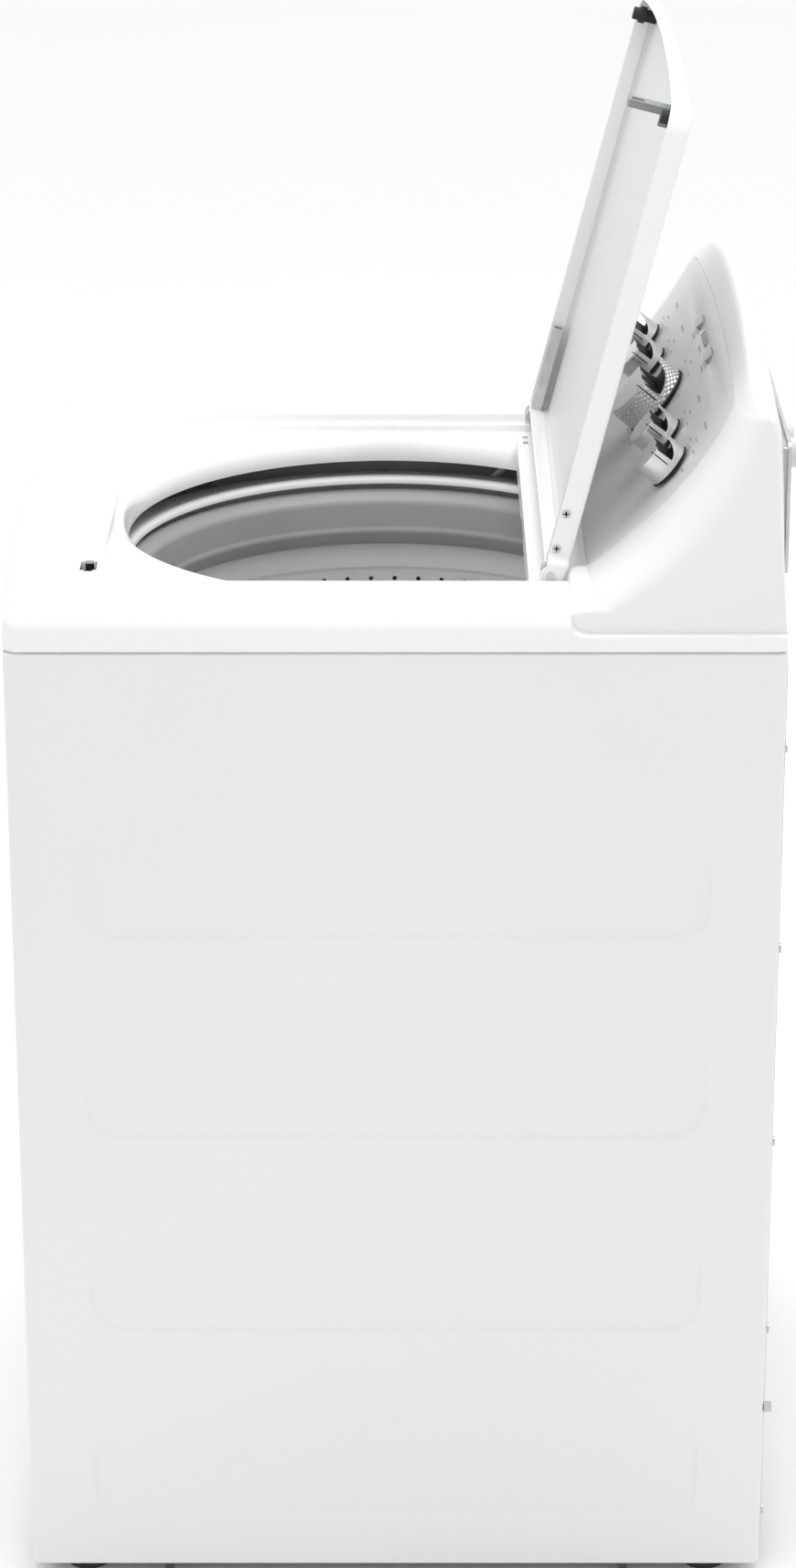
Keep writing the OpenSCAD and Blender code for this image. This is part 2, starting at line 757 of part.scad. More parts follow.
module console_rear_cover() {
    w = 2 * cover_half;
    h = cover_high - cover_low;
    color("gainsboro") difference() {
        translate([0, 328, (cover_low + cover_high) / 2]) rotate([-90, 0, 0]) difference() {
            union() {
                rounded_plate(w - 1, h - 1, 11, 2);
                translate([0, 0, 10]) rounded_plate(w + 8, h + 8, 3, 8);
            }
            translate([0, 0, -1]) rounded_plate(w - 5, h - 5, 11, 1.5);
        }
        for (x = inlet_xs) translate([x, 300, inlet_z]) rod_y_axis(14.5, 60);
        translate([outlet_x, 300, outlet_z + 22]) rod_y_axis(14, 60);
        translate([outlet_x, hose_y, 960]) cylinder(r = 13.6, h = outlet_z - 938, $fn = 48);
        translate([-262, 300, 1010]) rod_y_axis(11.2, 60);
    }
}

module knob_bezels() {
    color("#1d1d1f") face_pose() for (i = [0 : 4])
        translate([knob_xs[i], knob_t, knob_n - 1.1])
            ring((i == 2 ? cycle_r : knob_r) - 1, shaft_r + 2, 0.8);
}

// A knob with a straight finger grip across it, and its shaft
module knob(r, h, grip_w) {
    skirt = h * 0.45;
    translate([0, 0, knob_n]) {
        rotate_extrude($fn = 96)
            polygon([[0, 0], [r, 0], [r, skirt - 2], [r - 2, skirt], [0, skirt]]);
        intersection() {
            translate([-grip_w / 2, -r, skirt - 1]) cube([grip_w, 2 * r, h - skirt + 1]);
            cylinder(r = r - 1.5, h = h, $fn = 96);
        }
        translate([0, 0, -32]) cylinder(r = shaft_r, h = 33, $fn = 48);
    }
}

module console_knob(i) {
    color("#b9bbbd") face_pose() translate([knob_xs[i], knob_t, 0])
        knob(i == 2 ? cycle_r : knob_r, i == 2 ? 28 : 24, i == 2 ? 22 : 13);
}

module knob_far_left() { console_knob(0); }
module knob_left() { console_knob(1); }
module cycle_knob() { console_knob(2); }
module knob_right() { console_knob(3); }
module knob_far_right() { console_knob(4); }

module push_button(side) {
    color("#9c9fa3") face_pose() translate([side * button_x, button_t, 0]) {
        translate([0, 0, -11]) rounded_plate(28, 10, 9.5, 4.9);
        translate([0, 0, -17]) rounded_plate(31, 14, 6.5, 6);
    }
}

module button_left() { push_button(-1); }
module button_right() { push_button(1); }

module indicator_lenses() {
    color("#5f9f6f") face_pose() for (i = [-2 : 2])
        translate([i * 9, button_t, -9]) rounded_plate(3, 7, 6, 1.4);
}

module rotary_switches() {
    color("#e9e6dc") face_pose() for (x = knob_xs)
        translate([x, knob_t, -40]) difference() {
            union() {
                translate([0, 0, 0]) rounded_plate(34, 34, 20, 4);
                cylinder(r = 7, h = 24, $fn = 48);
            }
            translate([0, 0, -1]) cylinder(r = shaft_r + running, h = 30, $fn = 48);
        }
}

module control_board() {
    color("#2e6b3f") face_pose() {
        translate([-72, 130, -46]) rounded_plate(320, 116, 1.6, 4);
        for (x = [-180, -100, -20]) translate([x, 130, -58]) rounded_plate(26, 22, 12.1, 2);
        for (s = [-1, 1]) translate([s * button_x, button_t, -44.5])
            cylinder(r = 4, h = 25, $fn = 40);
    }
}

module pressure_switch() {
    color("#dcdcdc") translate([258, 285, 952]) {
        cylinder(r = 26, h = 18, $fn = 64);
        cylinder(r = 4, h = 34, $fn = 40);
        translate([0, 0, deck_z - 952]) cylinder(r = 12, h = 953 - deck_z, $fn = 40);
    }
}

cover_back = 341.2;

// A spout along +Y, from inside the console to its wider free end behind the rear cover
module spout(y0, r) {
    rod_y_axis(r - 0.8, rear_reach - y0);
    translate([0, cover_back - y0, 0]) rod_y_axis(r, rear_reach - cover_back);
}

module inlet_valve() {
    w = inlet_xs[1] - inlet_xs[0] + 48;
    color("#f2f2ee") difference() {
        union() {
            translate([inlet_xs[0] - 24, 292, inlet_z - 20]) cube([w, 30, 40]);
            for (x = inlet_xs) {
                translate([x, 310, inlet_z]) spout(310, 13.3);
                translate([x, 279.5, inlet_z]) rod_y_axis(15, 14);
            }
            translate([inlet_xs[0] - 20, 296, 955]) cube([30, 22, inlet_z - 965]);
        }
        for (x = inlet_xs) translate([x, 326, inlet_z]) rod_y_axis(9, 60);
    }
}

module fill_nozzle() {
    color("#e8e8e8") difference() {
        union() {
            translate([-45, 119, 917.5]) cube([90, 127, 11]);
            translate([-20, 214, 917.5]) cube([40, 30, 60]);
        }
        translate([-43, 110, 919.5]) cube([86, 134, 7]);
        translate([-18, 216, 919.5]) cube([36, 26, 70]);
    }
}

module drain_outlet() {
    r = 13;
    color("#5a5d60") difference() {
        union() {
            translate([outlet_x, hose_y, 956]) cylinder(r = r, h = outlet_z + 22 - 956, $fn = 48);
            translate([outlet_x, hose_y, outlet_z + 22]) sphere(r = r, $fn = 48);
            translate([outlet_x, hose_y, outlet_z + 22]) spout(hose_y, r);
        }
        translate([outlet_x, hose_y, 950]) cylinder(r = r - 3, h = outlet_z + 22 - 950, $fn = 48);
        translate([outlet_x, hose_y, outlet_z + 22]) rod_y_axis(r - 3, rear_reach);
    }
}

module cord_gland() {
    color("#202022") translate([-262, console_back - 14, 1010]) difference() {
        union() {
            rod_y_axis(11, 22);
            rod_y_axis(14, 2.9);
            translate([0, 18.2, 0]) rod_y_axis(14, 3);
        }
        translate([0, -1, 0]) rod_y_axis(4.2, 40);
    }
}

// ---------- tub and suspension ----------

module outer_tub() {
    color("#e4e6e8") on_tub_axis() difference() {
        rotate_extrude($fn = 180) polygon([
            [46, tub_floor], [tub_r - 8, tub_floor], [tub_r + tub_wall, tub_floor + 12],
            [tub_r + tub_wall, tub_rim - 6], [tub_r + 14, tub_rim - 6], [tub_r + 14, tub_rim],
            [tub_r, tub_rim], [tub_r, tub_floor + 14], [tub_r - 10, tub_floor + 6],
            [46, tub_floor + 6]
        ]);
        translate([pump_x, pump_y, tub_floor - 2]) cylinder(r = 12, h = 12, $fn = 48);
    }
}

module tub_ring() {
    r = tub_r;
    color("#f1f2f3") on_tub_axis() rotate_extrude($fn = 180) polygon([
        [241, 893], [241, 898], [245.5, 904], [251, 906], [r + 16, 901.5], [r + 18, 898],
        [r + 18, 862], [r + 15.5, 862], [r + 15.5, 896], [r + 3, 897.5], [r + 3, tub_rim + eps],
        [r + 0.5, tub_rim + eps], [r + 0.5, 897.5], [252, 899], [245, 893]
    ]);
}

module tub_brackets() {
    inner = tub_r + tub_wall;
    color("#8f9296") on_tub_axis() for (sx = [0, 1], sy = [0, 1])
        mirror([sx, 0, 0]) mirror([0, sy, 0]) rotate([0, 0, rod_angle]) difference() {
            union() {
                translate([inner - 8, -24, bracket_z]) cube([rod_reach + 24 - inner, 48, 8]);
                for (y = [-24, 19]) translate([inner - 8, y, bracket_z]) cube([70, 5, 60]);
                translate([rod_reach, 0, bracket_z - 6]) cylinder(r = 19, h = 14, $fn = 64);
            }
            translate([0, 0, bracket_z - 20]) cylinder(r = inner + eps, h = 120, $fn = 180);
            translate([rod_reach, 0, bracket_z - 20]) cylinder(r = 8, h = 60, $fn = 64);
            translate([rod_reach, 0, bracket_z - 7]) cylinder(r = 16, h = 7, $fn = 64);
        }
}

module suspension_rods() {
    color("lightgray") on_tub_axis() at_corners(rod_x, rod_y) {
        translate([0, 0, rod_foot_z]) cylinder(r = 5, h = brace_z + 11 - rod_foot_z, $fn = 48);
        translate([0, 0, rod_foot_z]) cylinder(r = 18, h = 8, $fn = 64);
        translate([0, 0, brace_z + 3]) cylinder(r = 10, h = 8, $fn = 48);
    }
}

module suspension_springs() {
    color("darkgray") on_tub_axis() at_corners(rod_x, rod_y)
        translate([0, 0, rod_foot_z + 8]) coil_spring(12.5, 2, bracket_z - rod_foot_z - 8, 7);
}

// ---------- drive ----------

module tub_seal() {
    color("#26272a") on_tub_axis() translate([0, 0, tub_floor + 20]) ring(38, tube_r + gap, 8);
}

module bearing_housing() {
    color("#b4b7ba") on_tub_axis() difference() {
        rotate_extrude($fn = 128) polygon([
            [tube_r + running, 120], [58, 120], [62, 124], [62, 214], [75, 214], [75, 220],
            [62, 220], [62, tub_floor], [45, tub_floor], [45, tub_floor + 20],
            [tube_r + running, tub_floor + 20]
        ]);
        for (a = [45 : 90 : 315]) rotate([0, 0, a])
            translate([68.5, 0, 210]) cylinder(r = 3, h = 20, $fn = 40);
    }
}

module drive_bracket() {
    z = 208;
    y_mid = (motor_y + 4) / 2;
    color("#6d7073") on_tub_axis() difference() {
        union() {
            translate([0, y_mid, z]) rounded_plate(160, motor_y + 160, 6, 14);
            for (sx = [-1, 1], y = [-68, motor_y + 72])
                translate([sx * 68, y, z]) cylinder(r = 8, h = tub_floor - z, $fn = 40);
        }
        translate([0, 0, z - 5]) cylinder(r = 62.5, h = 20, $fn = 96);
        translate([0, motor_y, z - 5]) cylinder(r = 14, h = 20, $fn = 64);
        for (a = [45 : 90 : 315]) rotate([0, 0, a])
            translate([68.5, 0, z - 5]) cylinder(r = 3, h = 20, $fn = 40);
    }
}

module motor_housing() {
    color("#43464a") on_tub_axis() translate([0, motor_y, 0]) difference() {
        translate([0, 0, 112]) cylinder(r = 62, h = 96, $fn = 96);
        translate([0, 0, 116]) cylinder(r = 57.5, h = 88, $fn = 96);
        translate([0, 0, 100]) cylinder(r = 6 + running, h = 120, $fn = 64);
    }
}

module motor_stator() {
    color("#a8622c") on_tub_axis() translate([0, motor_y, 130]) ring(57.5, 40.5, 65);
}

module motor_rotor() {
    color("#888b8f") on_tub_axis() translate([0, motor_y, 0]) {
        translate([0, 0, 128]) cylinder(r = 39.5, h = 68, $fn = 96);
        translate([0, 0, 70]) cylinder(r = 6, h = 136, $fn = 64);
    }
}

module motor_pulley() {
    color("silver") on_tub_axis() translate([0, motor_y, pulley_z]) ring(motor_r, 6, pulley_h);
}

// An open belt's outline round two pulleys, the second one along +Y
function belt_arc(r, y, a0, a1, n) =
    [for (i = [0 : n]) let (a = a0 + (a1 - a0) * i / n) [r * cos(a), y + r * sin(a)]];
function belt_outline(r1, r2, reach) =
    let (slant = asin((r1 - r2) / reach))
        concat(belt_arc(r1, 0, 180 - slant, 360 + slant, 56),
               belt_arc(r2, reach, slant, 180 - slant, 20));

module drive_belt() {
    color("#1c1c1e") on_tub_axis() translate([0, 0, pulley_z + 3]) linear_extrude(pulley_h - 6)
        difference() {
            polygon(belt_outline(driven_r + gap + 4, motor_r + gap + 4, motor_y));
            polygon(belt_outline(driven_r + gap, motor_r + gap, motor_y));
        }
}

module pump_housing() {
    color("#d9dadb") on_tub_axis() translate([pump_x, pump_y, 0]) difference() {
        union() {
            translate([0, 0, 170]) cylinder(r = 38, h = 40, $fn = 64);
            translate([0, 0, 120]) cylinder(r = 28, h = 52, $fn = 64);
            translate([0, 0, 208]) cylinder(r = 15, h = tub_floor - 208, $fn = 48);
            translate([0, 30, 186]) rod_y_axis(12, 40);
        }
        translate([0, 0, 174]) cylinder(r = 34, h = 30, $fn = 64);
        translate([0, 0, 126]) cylinder(r = 17, h = 44, $fn = 64);
        translate([0, 0, 150]) cylinder(r = 3 + running, h = 30, $fn = 48);
        translate([0, 0, 190]) cylinder(r = 11.5, h = 60, $fn = 48);
        translate([0, 20, 186]) rod_y_axis(9, 60);
    }
}

module pump_rotor() {
    color("#5c6064") on_tub_axis() translate([pump_x, pump_y, 0]) {
        translate([0, 0, 130]) cylinder(r = 3, h = 48, $fn = 48);
        translate([0, 0, 130]) cylinder(r = 16, h = 34, $fn = 64);
        translate([0, 0, 176]) cylinder(r = 26, h = 3, $fn = 64);
        for (a = [0 : 60 : 300]) rotate([0, 0, a]) translate([4, -1, 178.9]) cube([22, 2, 12]);
    }
}

// The drain hose's route, from the pump's outlet up to the outlet elbow
hose_route = [
    [pump_x, 168, 186], [pump_x, 200, 186], [-151, 232, 187], [-154, 262, 192], [-160, 288, 206],
    [-168, 305, 230], [-175, 313, 262], [-179, 316, 300], [outlet_x, hose_y, 345],
    [outlet_x, hose_y, 500], [outlet_x, hose_y, 650], [outlet_x, hose_y, 800],
    [outlet_x, hose_y, 955.5]
];

function unit(v) = v / norm(v);
function hose_dir(i) =
    let (a = hose_route[max(0, i - 1)], b = hose_route[min(len(hose_route) - 1, i + 1)])
        unit(b - a);
function hose_ring(i, r, sides) =
    let (d = hose_dir(i), u = unit(cross(d, [1, 0, 0])), v = cross(d, u))
        [for (k = [0 : sides - 1]) let (a = 360 * k / sides)
            hose_route[i] + r * cos(a) * u + r * sin(a) * v];

module drain_hose() {
    color("#3d3f42") ring_tube([for (i = [0 : len(hose_route) - 1]) hose_ring(i, 13, 12)]);
}

// ---------- basket ----------

module balance_ring() {
    color("#9b9ea1") on_tub_axis() rotate_extrude($fn = 180) polygon([
        [231.5, 880], [basket_r - 3, 886.5], [basket_r, 884], [basket_r, 862.3],
        [basket_r - 1.7, 862.3], [basket_r - 1.7, 806], [basket_r - 4, 806], [basket_r - 5, ring_low],
        [230.5, ring_low], [228, 841], [225.5, 851], [226.5, 856]
    ]);
}

module basket() {
    r = basket_r;
    color("#c8cacc") on_tub_axis() difference() {
        rotate_extrude($fn = 180) polygon([
            [60, basket_floor], [r - 18, basket_floor], [r - 4, basket_floor + 5],
            [r, basket_floor + 18], [r, 862], [r - 1.5, 862], [r - 1.5, basket_floor + 18],
            [r - 5, basket_floor + 6.5], [r - 18.5, basket_floor + 1.5], [60, basket_floor + 1.5]
        ]);
        for (row = [0 : 5], k = [0 : 9])
            rotate([0, 0, 18 * (2 * k + row % 2)]) translate([r - 10, 0, 380 + row * 75])
                rotate([0, 90, 0]) cylinder(r = 3, h = 20, $fn = 24);
    }
}

module basket_hub() {
    color("#a9acaf") on_tub_axis() difference() {
        union() {
            translate([0, 0, 266]) cylinder(r = 34, h = basket_floor + 14 - 266, $fn = 64);
            translate([0, 0, basket_floor - 8]) cylinder(r = 62, h = 8, $fn = 96);
            for (a = [0 : 60 : 300]) rotate([0, 0, a])
                translate([30, -14, basket_floor - 8]) cube([190, 28, 8]);
        }
        translate([0, 0, 200]) cylinder(r = tube_r, h = 200, $fn = 64);
    }
}

module spin_tube() {
    color("silver") on_tub_axis() {
        translate([0, 0, 100]) ring(tube_r, drive_r + running, 214);
        translate([0, 0, 100]) ring(30, tube_r, 14);
    }
}

module drive_shaft() {
    web = 5;
    color("lightgray") on_tub_axis() {
        translate([0, 0, 66]) cylinder(r = drive_r, h = 272, $fn = 64);
        translate([0, 0, pulley_z]) ring(20, drive_r, pulley_h);
        translate([0, 0, pulley_z + 6]) ring(driven_r - 5, 19.9, web);
        translate([0, 0, pulley_z]) ring(driven_r, driven_r - 5.1, pulley_h);
    }
}

// Domed disc with radial vanes and a centre cap
module wash_plate() {
    low = 318;
    r = plate_r;
    color("#8e9498") on_tub_axis() difference() {
        union() {
            rotate_extrude($fn = 128) polygon([
                [0, low], [r - 3, low], [r, low + 3], [r, low + 9], [r - 4, low + 12], [150, low + 15],
                [80, low + 26], [48, low + 46], [40, low + 60], [28, low + 68], [0, low + 70]
            ]);
            for (i = [0 : vanes - 1]) rotate([0, 0, 360 * i / vanes]) intersection() {
                translate([20, -9, low + 5]) cube([r - 30, 18, 46]);
                rotate_extrude($fn = 96) polygon([
                    [0, low + 5], [r - 14, low + 5], [r - 22, low + 30], [90, low + 50], [0, low + 50]
                ]);
            }
        }
        translate([0, 0, low - 1]) rotate_extrude($fn = 96)
            polygon([[24, 0], [r - 6, 0], [r - 10, 6], [70, 12], [24, 16]]);
        translate([0, 0, low - 1]) cylinder(r = drive_r, h = 21.5, $fn = 64);
    }
}

cabinet_shell();
rear_panel();
base_frame();
corner_braces();
foot_pads();
foot_studs();
foot_locknuts();
panel_screws();
top_panel();
rear_sill();
hinge_brackets();
lid_lock_housing();
lock_bolt();
lid_panel();
lid_strike();
lid_bumpers();
hinge_arms();
hinge_pins();
lid_screws();
console_ends();
console_crown();
console_rails();
face_panel();
console_rear_cover();
knob_bezels();
knob_far_left();
knob_left();
cycle_knob();
knob_right();
knob_far_right();
button_left();
button_right();
indicator_lenses();
rotary_switches();
control_board();
pressure_switch();
inlet_valve();
fill_nozzle();
drain_outlet();
cord_gland();
outer_tub();
tub_ring();
tub_brackets();
suspension_rods();
suspension_springs();
tub_seal();
bearing_housing();
drive_bracket();
motor_housing();
motor_stator();
motor_rotor();
motor_pulley();
drive_belt();
pump_housing();
pump_rotor();
drain_hose();
balance_ring();
basket();
basket_hub();
spin_tube();
drive_shaft();
wash_plate();
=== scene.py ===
"""Looks for the top load washing machine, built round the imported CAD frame."""

import json
import math

import bpy
import bmesh
import numpy as np
from mathutils import Matrix, Vector


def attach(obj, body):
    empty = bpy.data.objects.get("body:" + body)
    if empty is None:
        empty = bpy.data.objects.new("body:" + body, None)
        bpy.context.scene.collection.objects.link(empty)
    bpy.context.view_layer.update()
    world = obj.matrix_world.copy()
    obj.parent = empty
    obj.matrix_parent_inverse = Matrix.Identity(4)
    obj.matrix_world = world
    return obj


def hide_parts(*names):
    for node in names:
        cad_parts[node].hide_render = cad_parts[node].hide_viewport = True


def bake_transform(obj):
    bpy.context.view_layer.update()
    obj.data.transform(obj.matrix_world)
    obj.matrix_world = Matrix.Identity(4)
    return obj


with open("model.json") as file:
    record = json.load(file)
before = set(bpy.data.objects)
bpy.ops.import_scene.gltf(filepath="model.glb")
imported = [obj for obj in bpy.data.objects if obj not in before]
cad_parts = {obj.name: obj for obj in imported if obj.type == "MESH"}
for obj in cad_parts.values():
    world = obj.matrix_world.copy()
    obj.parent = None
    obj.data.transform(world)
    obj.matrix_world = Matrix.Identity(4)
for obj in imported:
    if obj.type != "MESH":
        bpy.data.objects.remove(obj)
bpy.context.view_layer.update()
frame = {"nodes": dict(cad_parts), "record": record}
NODES = frame["nodes"]
MM = 0.001

# Sizes shared with the CAD, in millimetres
AXIS_Y = -8.0
HINGE_Y, HINGE_Z = 136.0, 962.0
LID_OPEN = 104.3
RIM_Z, LID_TOP = 955.5, 975.5
LEDGE_Z, DISH_Z, RIDGE_Z, SHOULDER_Z, NOSE_Z = 950.0, 942.0, 962.5, 934.0, 924.0
TOP_HALF, TOP_FRONT, RIDGE_HALF = 343.5, 355.0, 285.0
SHOULDER_W, NOSE_W = TOP_HALF - RIDGE_HALF, 24.0
NOSE_R = (686 ** 2 / 4 + 15 ** 2) / 30
DECK_Y, DECK_Z, REAR_Y = 152.0, 932.0, 340.0
BOW_R = 2000.0
LID_HALF, LID_FRONT, LID_REAR = 262.0, 305.0, 130.0
MOUTH_R, SILL_Y = 242.5, 118.8
FACE_Y, FACE_Z = 168.0, 969.0
FACE_TILT = math.radians(50.8)
FACE_LEN, FACE_SAG, FACE_HALF = 194.0, 12.0, 262.0
FACE_MID = FACE_LEN / 2 + 4.5
FACE_ARC = (FACE_MID ** 2 + FACE_SAG ** 2) / (2 * FACE_SAG)
KNOB_T, KNOB_N = 106.5, -8.8


# ---------- materials ----------

MATS = {}
OCTAVES = 3.0


def principled(name, color, roughness, metallic=0.0, coat=0.0, coat_rough=0.1, specular=0.5,
               tint=0.03, tint_scale=6.0, rough_span=0.06, rough_scale=25.0,
               bump=0.0, bump_scale=400.0, stretch=(1, 1, 1)):
    """A painted, moulded or metal surface: colour and roughness drift a little, with a fine bump."""
    mat = MATS[name] = bpy.data.materials.new(name)
    mat.use_nodes = True
    nodes, links = mat.node_tree.nodes, mat.node_tree.links
    shader = nodes["Principled BSDF"]
    shader.inputs["Metallic"].default_value = metallic
    shader.inputs["Coat Weight"].default_value = coat
    shader.inputs["Coat Roughness"].default_value = coat_rough
    shader.inputs["Specular IOR Level"].default_value = specular
    coord = nodes.new("ShaderNodeTexCoord")
    mapping = nodes.new("ShaderNodeMapping")
    mapping.inputs["Scale"].default_value = stretch
    links.new(coord.outputs["Object"], mapping.inputs["Vector"])

    def noise(scale, octaves):
        node = nodes.new("ShaderNodeTexNoise")
        node.inputs["Scale"].default_value = scale
        node.inputs["Detail"].default_value = octaves
        links.new(mapping.outputs["Vector"], node.inputs["Vector"])
        return node

    ramp = nodes.new("ShaderNodeValToRGB")
    low = [max(0.0, c * (1 - tint)) for c in color]
    high = [min(1.0, c * (1 + tint)) for c in color]
    ramp.color_ramp.elements[0].position = 0.3
    ramp.color_ramp.elements[1].position = 0.7
    ramp.color_ramp.elements[0].color = (*low, 1)
    ramp.color_ramp.elements[1].color = (*high, 1)
    links.new(noise(tint_scale, OCTAVES).outputs["Fac"], ramp.inputs["Fac"])
    links.new(ramp.outputs["Color"], shader.inputs["Base Color"])
    span = nodes.new("ShaderNodeMapRange")
    span.inputs["To Min"].default_value = max(0.02, roughness - rough_span)
    span.inputs["To Max"].default_value = min(1.0, roughness + rough_span)
    links.new(noise(rough_scale, OCTAVES).outputs["Fac"], span.inputs["Value"])
    links.new(span.outputs["Result"], shader.inputs["Roughness"])
    if bump:
        lift = nodes.new("ShaderNodeBump")
        lift.inputs["Strength"].default_value = bump
        lift.inputs["Distance"].default_value = 0.0004
        links.new(noise(bump_scale, 2.0).outputs["Fac"], lift.inputs["Height"])
        links.new(lift.outputs["Normal"], shader.inputs["Normal"])
    return mat


principled("cabinet_paint", (0.76, 0.763, 0.766), 0.36, coat=0.15, coat_rough=0.15, tint=0.012,
           tint_scale=2.0, bump=0.08, bump_scale=420)
principled("top_enamel", (0.83, 0.834, 0.838), 0.28, coat=0.3, coat_rough=0.1, tint=0.01,
           tint_scale=2.0, rough_span=0.03, bump=0.015, bump_scale=380)
# A darker grey for the lid's inner faces: painted shade on the inside of the open lid.
principled("lid_inner_shade", (0.64, 0.644, 0.648), 0.42, coat=0.1, tint=0.012, tint_scale=3.0,
           rough_span=0.03)
principled("white_plastic", (0.785, 0.789, 0.793), 0.35, coat=0.1, coat_rough=0.15, tint=0.01,
           tint_scale=3.0, bump=0.06, bump_scale=700)
principled("galvanised", (0.56, 0.57, 0.58), 0.42, metallic=0.85, tint=0.12, tint_scale=38,
           rough_span=0.12, rough_scale=38, bump=0.1, bump_scale=60)
principled("frame_paint", (0.035, 0.036, 0.038), 0.5, tint=0.2, bump=0.3, bump_scale=260)
principled("foot_rubber", (0.022, 0.022, 0.023), 0.75, tint=0.25, tint_scale=40, bump=0.5,
           bump_scale=500)
principled("zinc_steel", (0.58, 0.59, 0.6), 0.32, metallic=1.0, tint=0.08, tint_scale=60,
           rough_span=0.1, bump=0.15, bump_scale=300)
principled("cream_plastic", (0.7, 0.695, 0.68), 0.5, tint=0.04, bump=0.15, bump_scale=600)
principled("dark_plastic", (0.03, 0.031, 0.033), 0.45, tint=0.2, bump=0.2, bump_scale=700)
principled("grey_plastic", (0.25, 0.26, 0.27), 0.5, tint=0.06, bump=0.2, bump_scale=600)
principled("face_silver", (0.66, 0.665, 0.67), 0.45, metallic=0.1, tint=0.03, tint_scale=220,
           rough_span=0.05, bump=0.12, bump_scale=900)
principled("knob_chrome", (0.7, 0.705, 0.71), 0.2, metallic=0.85, tint=0.02, rough_span=0.03, bump=0.02)
principled("button_grey", (0.3, 0.31, 0.32), 0.3, coat=0.4, tint=0.04, bump=0.05)
principled("lens", (0.33, 0.36, 0.35), 0.25, coat=0.6, tint=0.1, tint_scale=90)
principled("board_green", (0.03, 0.15, 0.06), 0.45, tint=0.25, tint_scale=60, bump=0.1, bump_scale=200)
principled("tub_plastic", (0.62, 0.63, 0.64), 0.45, tint=0.03, bump=0.2, bump_scale=350)
principled("ring_plastic", (0.82, 0.825, 0.83), 0.3, coat=0.15, tint=0.015, bump=0.08, bump_scale=500)
principled("balance_plastic", (0.33, 0.335, 0.34), 0.4, tint=0.04, tint_scale=12, bump=0.15,
           bump_scale=450)
# Pale steel set near white and mostly diffuse: its own light colour plus painted reflection of the light the
# steel would mirror.
principled("basket_steel", (0.93, 0.933, 0.936), 0.38, metallic=0.2, tint=0.04, tint_scale=30,
           rough_span=0.08, rough_scale=60, bump=0.1, bump_scale=200, stretch=(1, 1, 8))
principled("skirt_plastic", (0.95, 0.952, 0.955), 0.35, tint=0.02, tint_scale=20, bump=0.1,
           bump_scale=400)
principled("plate_plastic", (0.3, 0.32, 0.34), 0.38, coat=0.15, tint=0.03, bump=0.12, bump_scale=500)
principled("cast_aluminium", (0.55, 0.56, 0.57), 0.5, metallic=0.9, tint=0.1, tint_scale=50, bump=0.5,
           bump_scale=180)
principled("shaft_steel", (0.5, 0.51, 0.52), 0.25, metallic=1.0, tint=0.06, tint_scale=90,
           rough_span=0.1, stretch=(1, 1, 12), bump=0.08)
principled("motor_paint", (0.05, 0.053, 0.058), 0.45, tint=0.15, bump=0.3, bump_scale=220)
principled("winding_copper", (0.45, 0.19, 0.07), 0.35, metallic=0.7, tint=0.2, tint_scale=150, bump=0.8,
           bump_scale=260, stretch=(1, 1, 6))
principled("belt_rubber", (0.018, 0.018, 0.019), 0.7, tint=0.3, tint_scale=60, bump=0.4, bump_scale=300)
principled("hose_rubber", (0.06, 0.061, 0.065), 0.6, tint=0.15, bump=0.3, bump_scale=300)
principled("print_ink", (0.36, 0.365, 0.37), 0.5, tint=0.1, tint_scale=300)
# Near black for the knobs' printed pointer lines, and painted shade in the knob scoops, at the knobs' feet
# and in the screws' cross recesses.
principled("knob_dark", (0.012, 0.012, 0.013), 0.5, specular=0.15, tint=0.15)


# ---------- mesh helpers ----------

def linked(name, data):
    """A new object in the scene."""
    obj = bpy.data.objects.new(name, data)
    bpy.context.scene.collection.objects.link(obj)
    return obj


def piece(name, points, faces, mat, body, replaced=(), place=None, smooth=True, weld=True):
    """A piece from points in millimetres, moved by a matrix in metres if one is given."""
    mesh = bpy.data.meshes.new(name)
    mesh.from_pydata((np.asarray(points, float).reshape(-1, 3) * MM).tolist(), [], faces)
    if place is not None:
        mesh.transform(place)
    obj = linked(name, mesh)
    if weld:
        bm = bmesh.new()
        bm.from_mesh(mesh)
        bmesh.ops.remove_doubles(bm, verts=bm.verts, dist=1e-6)
        bmesh.ops.recalc_face_normals(bm, faces=bm.faces)
        bm.to_mesh(mesh)
        bm.free()
    mesh.polygons.foreach_set("use_smooth", [smooth] * len(mesh.polygons))
    mesh.materials.append(MATS[mat])
    if body:
        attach(obj, body)
    if replaced:
        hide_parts(*replaced)
    return obj


def grid_faces(rows, cols, wrap_rows=False, wrap_cols=False, start=0):
    """Quads between neighbouring points of a grid, whose first point is number start."""
    faces = []
    for i in range(rows if wrap_rows else rows - 1):
        for j in range(cols if wrap_cols else cols - 1):
            a = start + i * cols + j
            b = start + i * cols + (j + 1) % cols
            c = start + ((i + 1) % rows) * cols + (j + 1) % cols
            d = start + ((i + 1) % rows) * cols + j
            faces.append((a, b, c, d))
    return faces


def polar(rings, dx, dy, middle_y):
    """Points at each ring's distance along the rays from the middle, and at the ring's height."""
    return np.array([np.stack([t * dx, middle_y + t * dy, z + 0 * dx], axis=-1) for t, z in rings])


def sharp_edges(obj, angle):
    """Marks edges sharper than angle degrees, so that smooth shading stops there."""
    bm = bmesh.new()
    bm.from_mesh(obj.data)
    for edge in bm.edges:
        if len(edge.link_faces) == 2 and edge.calc_face_angle(0) > math.radians(angle):
            edge.smooth = False
    bm.to_mesh(obj.data)
    bm.free()


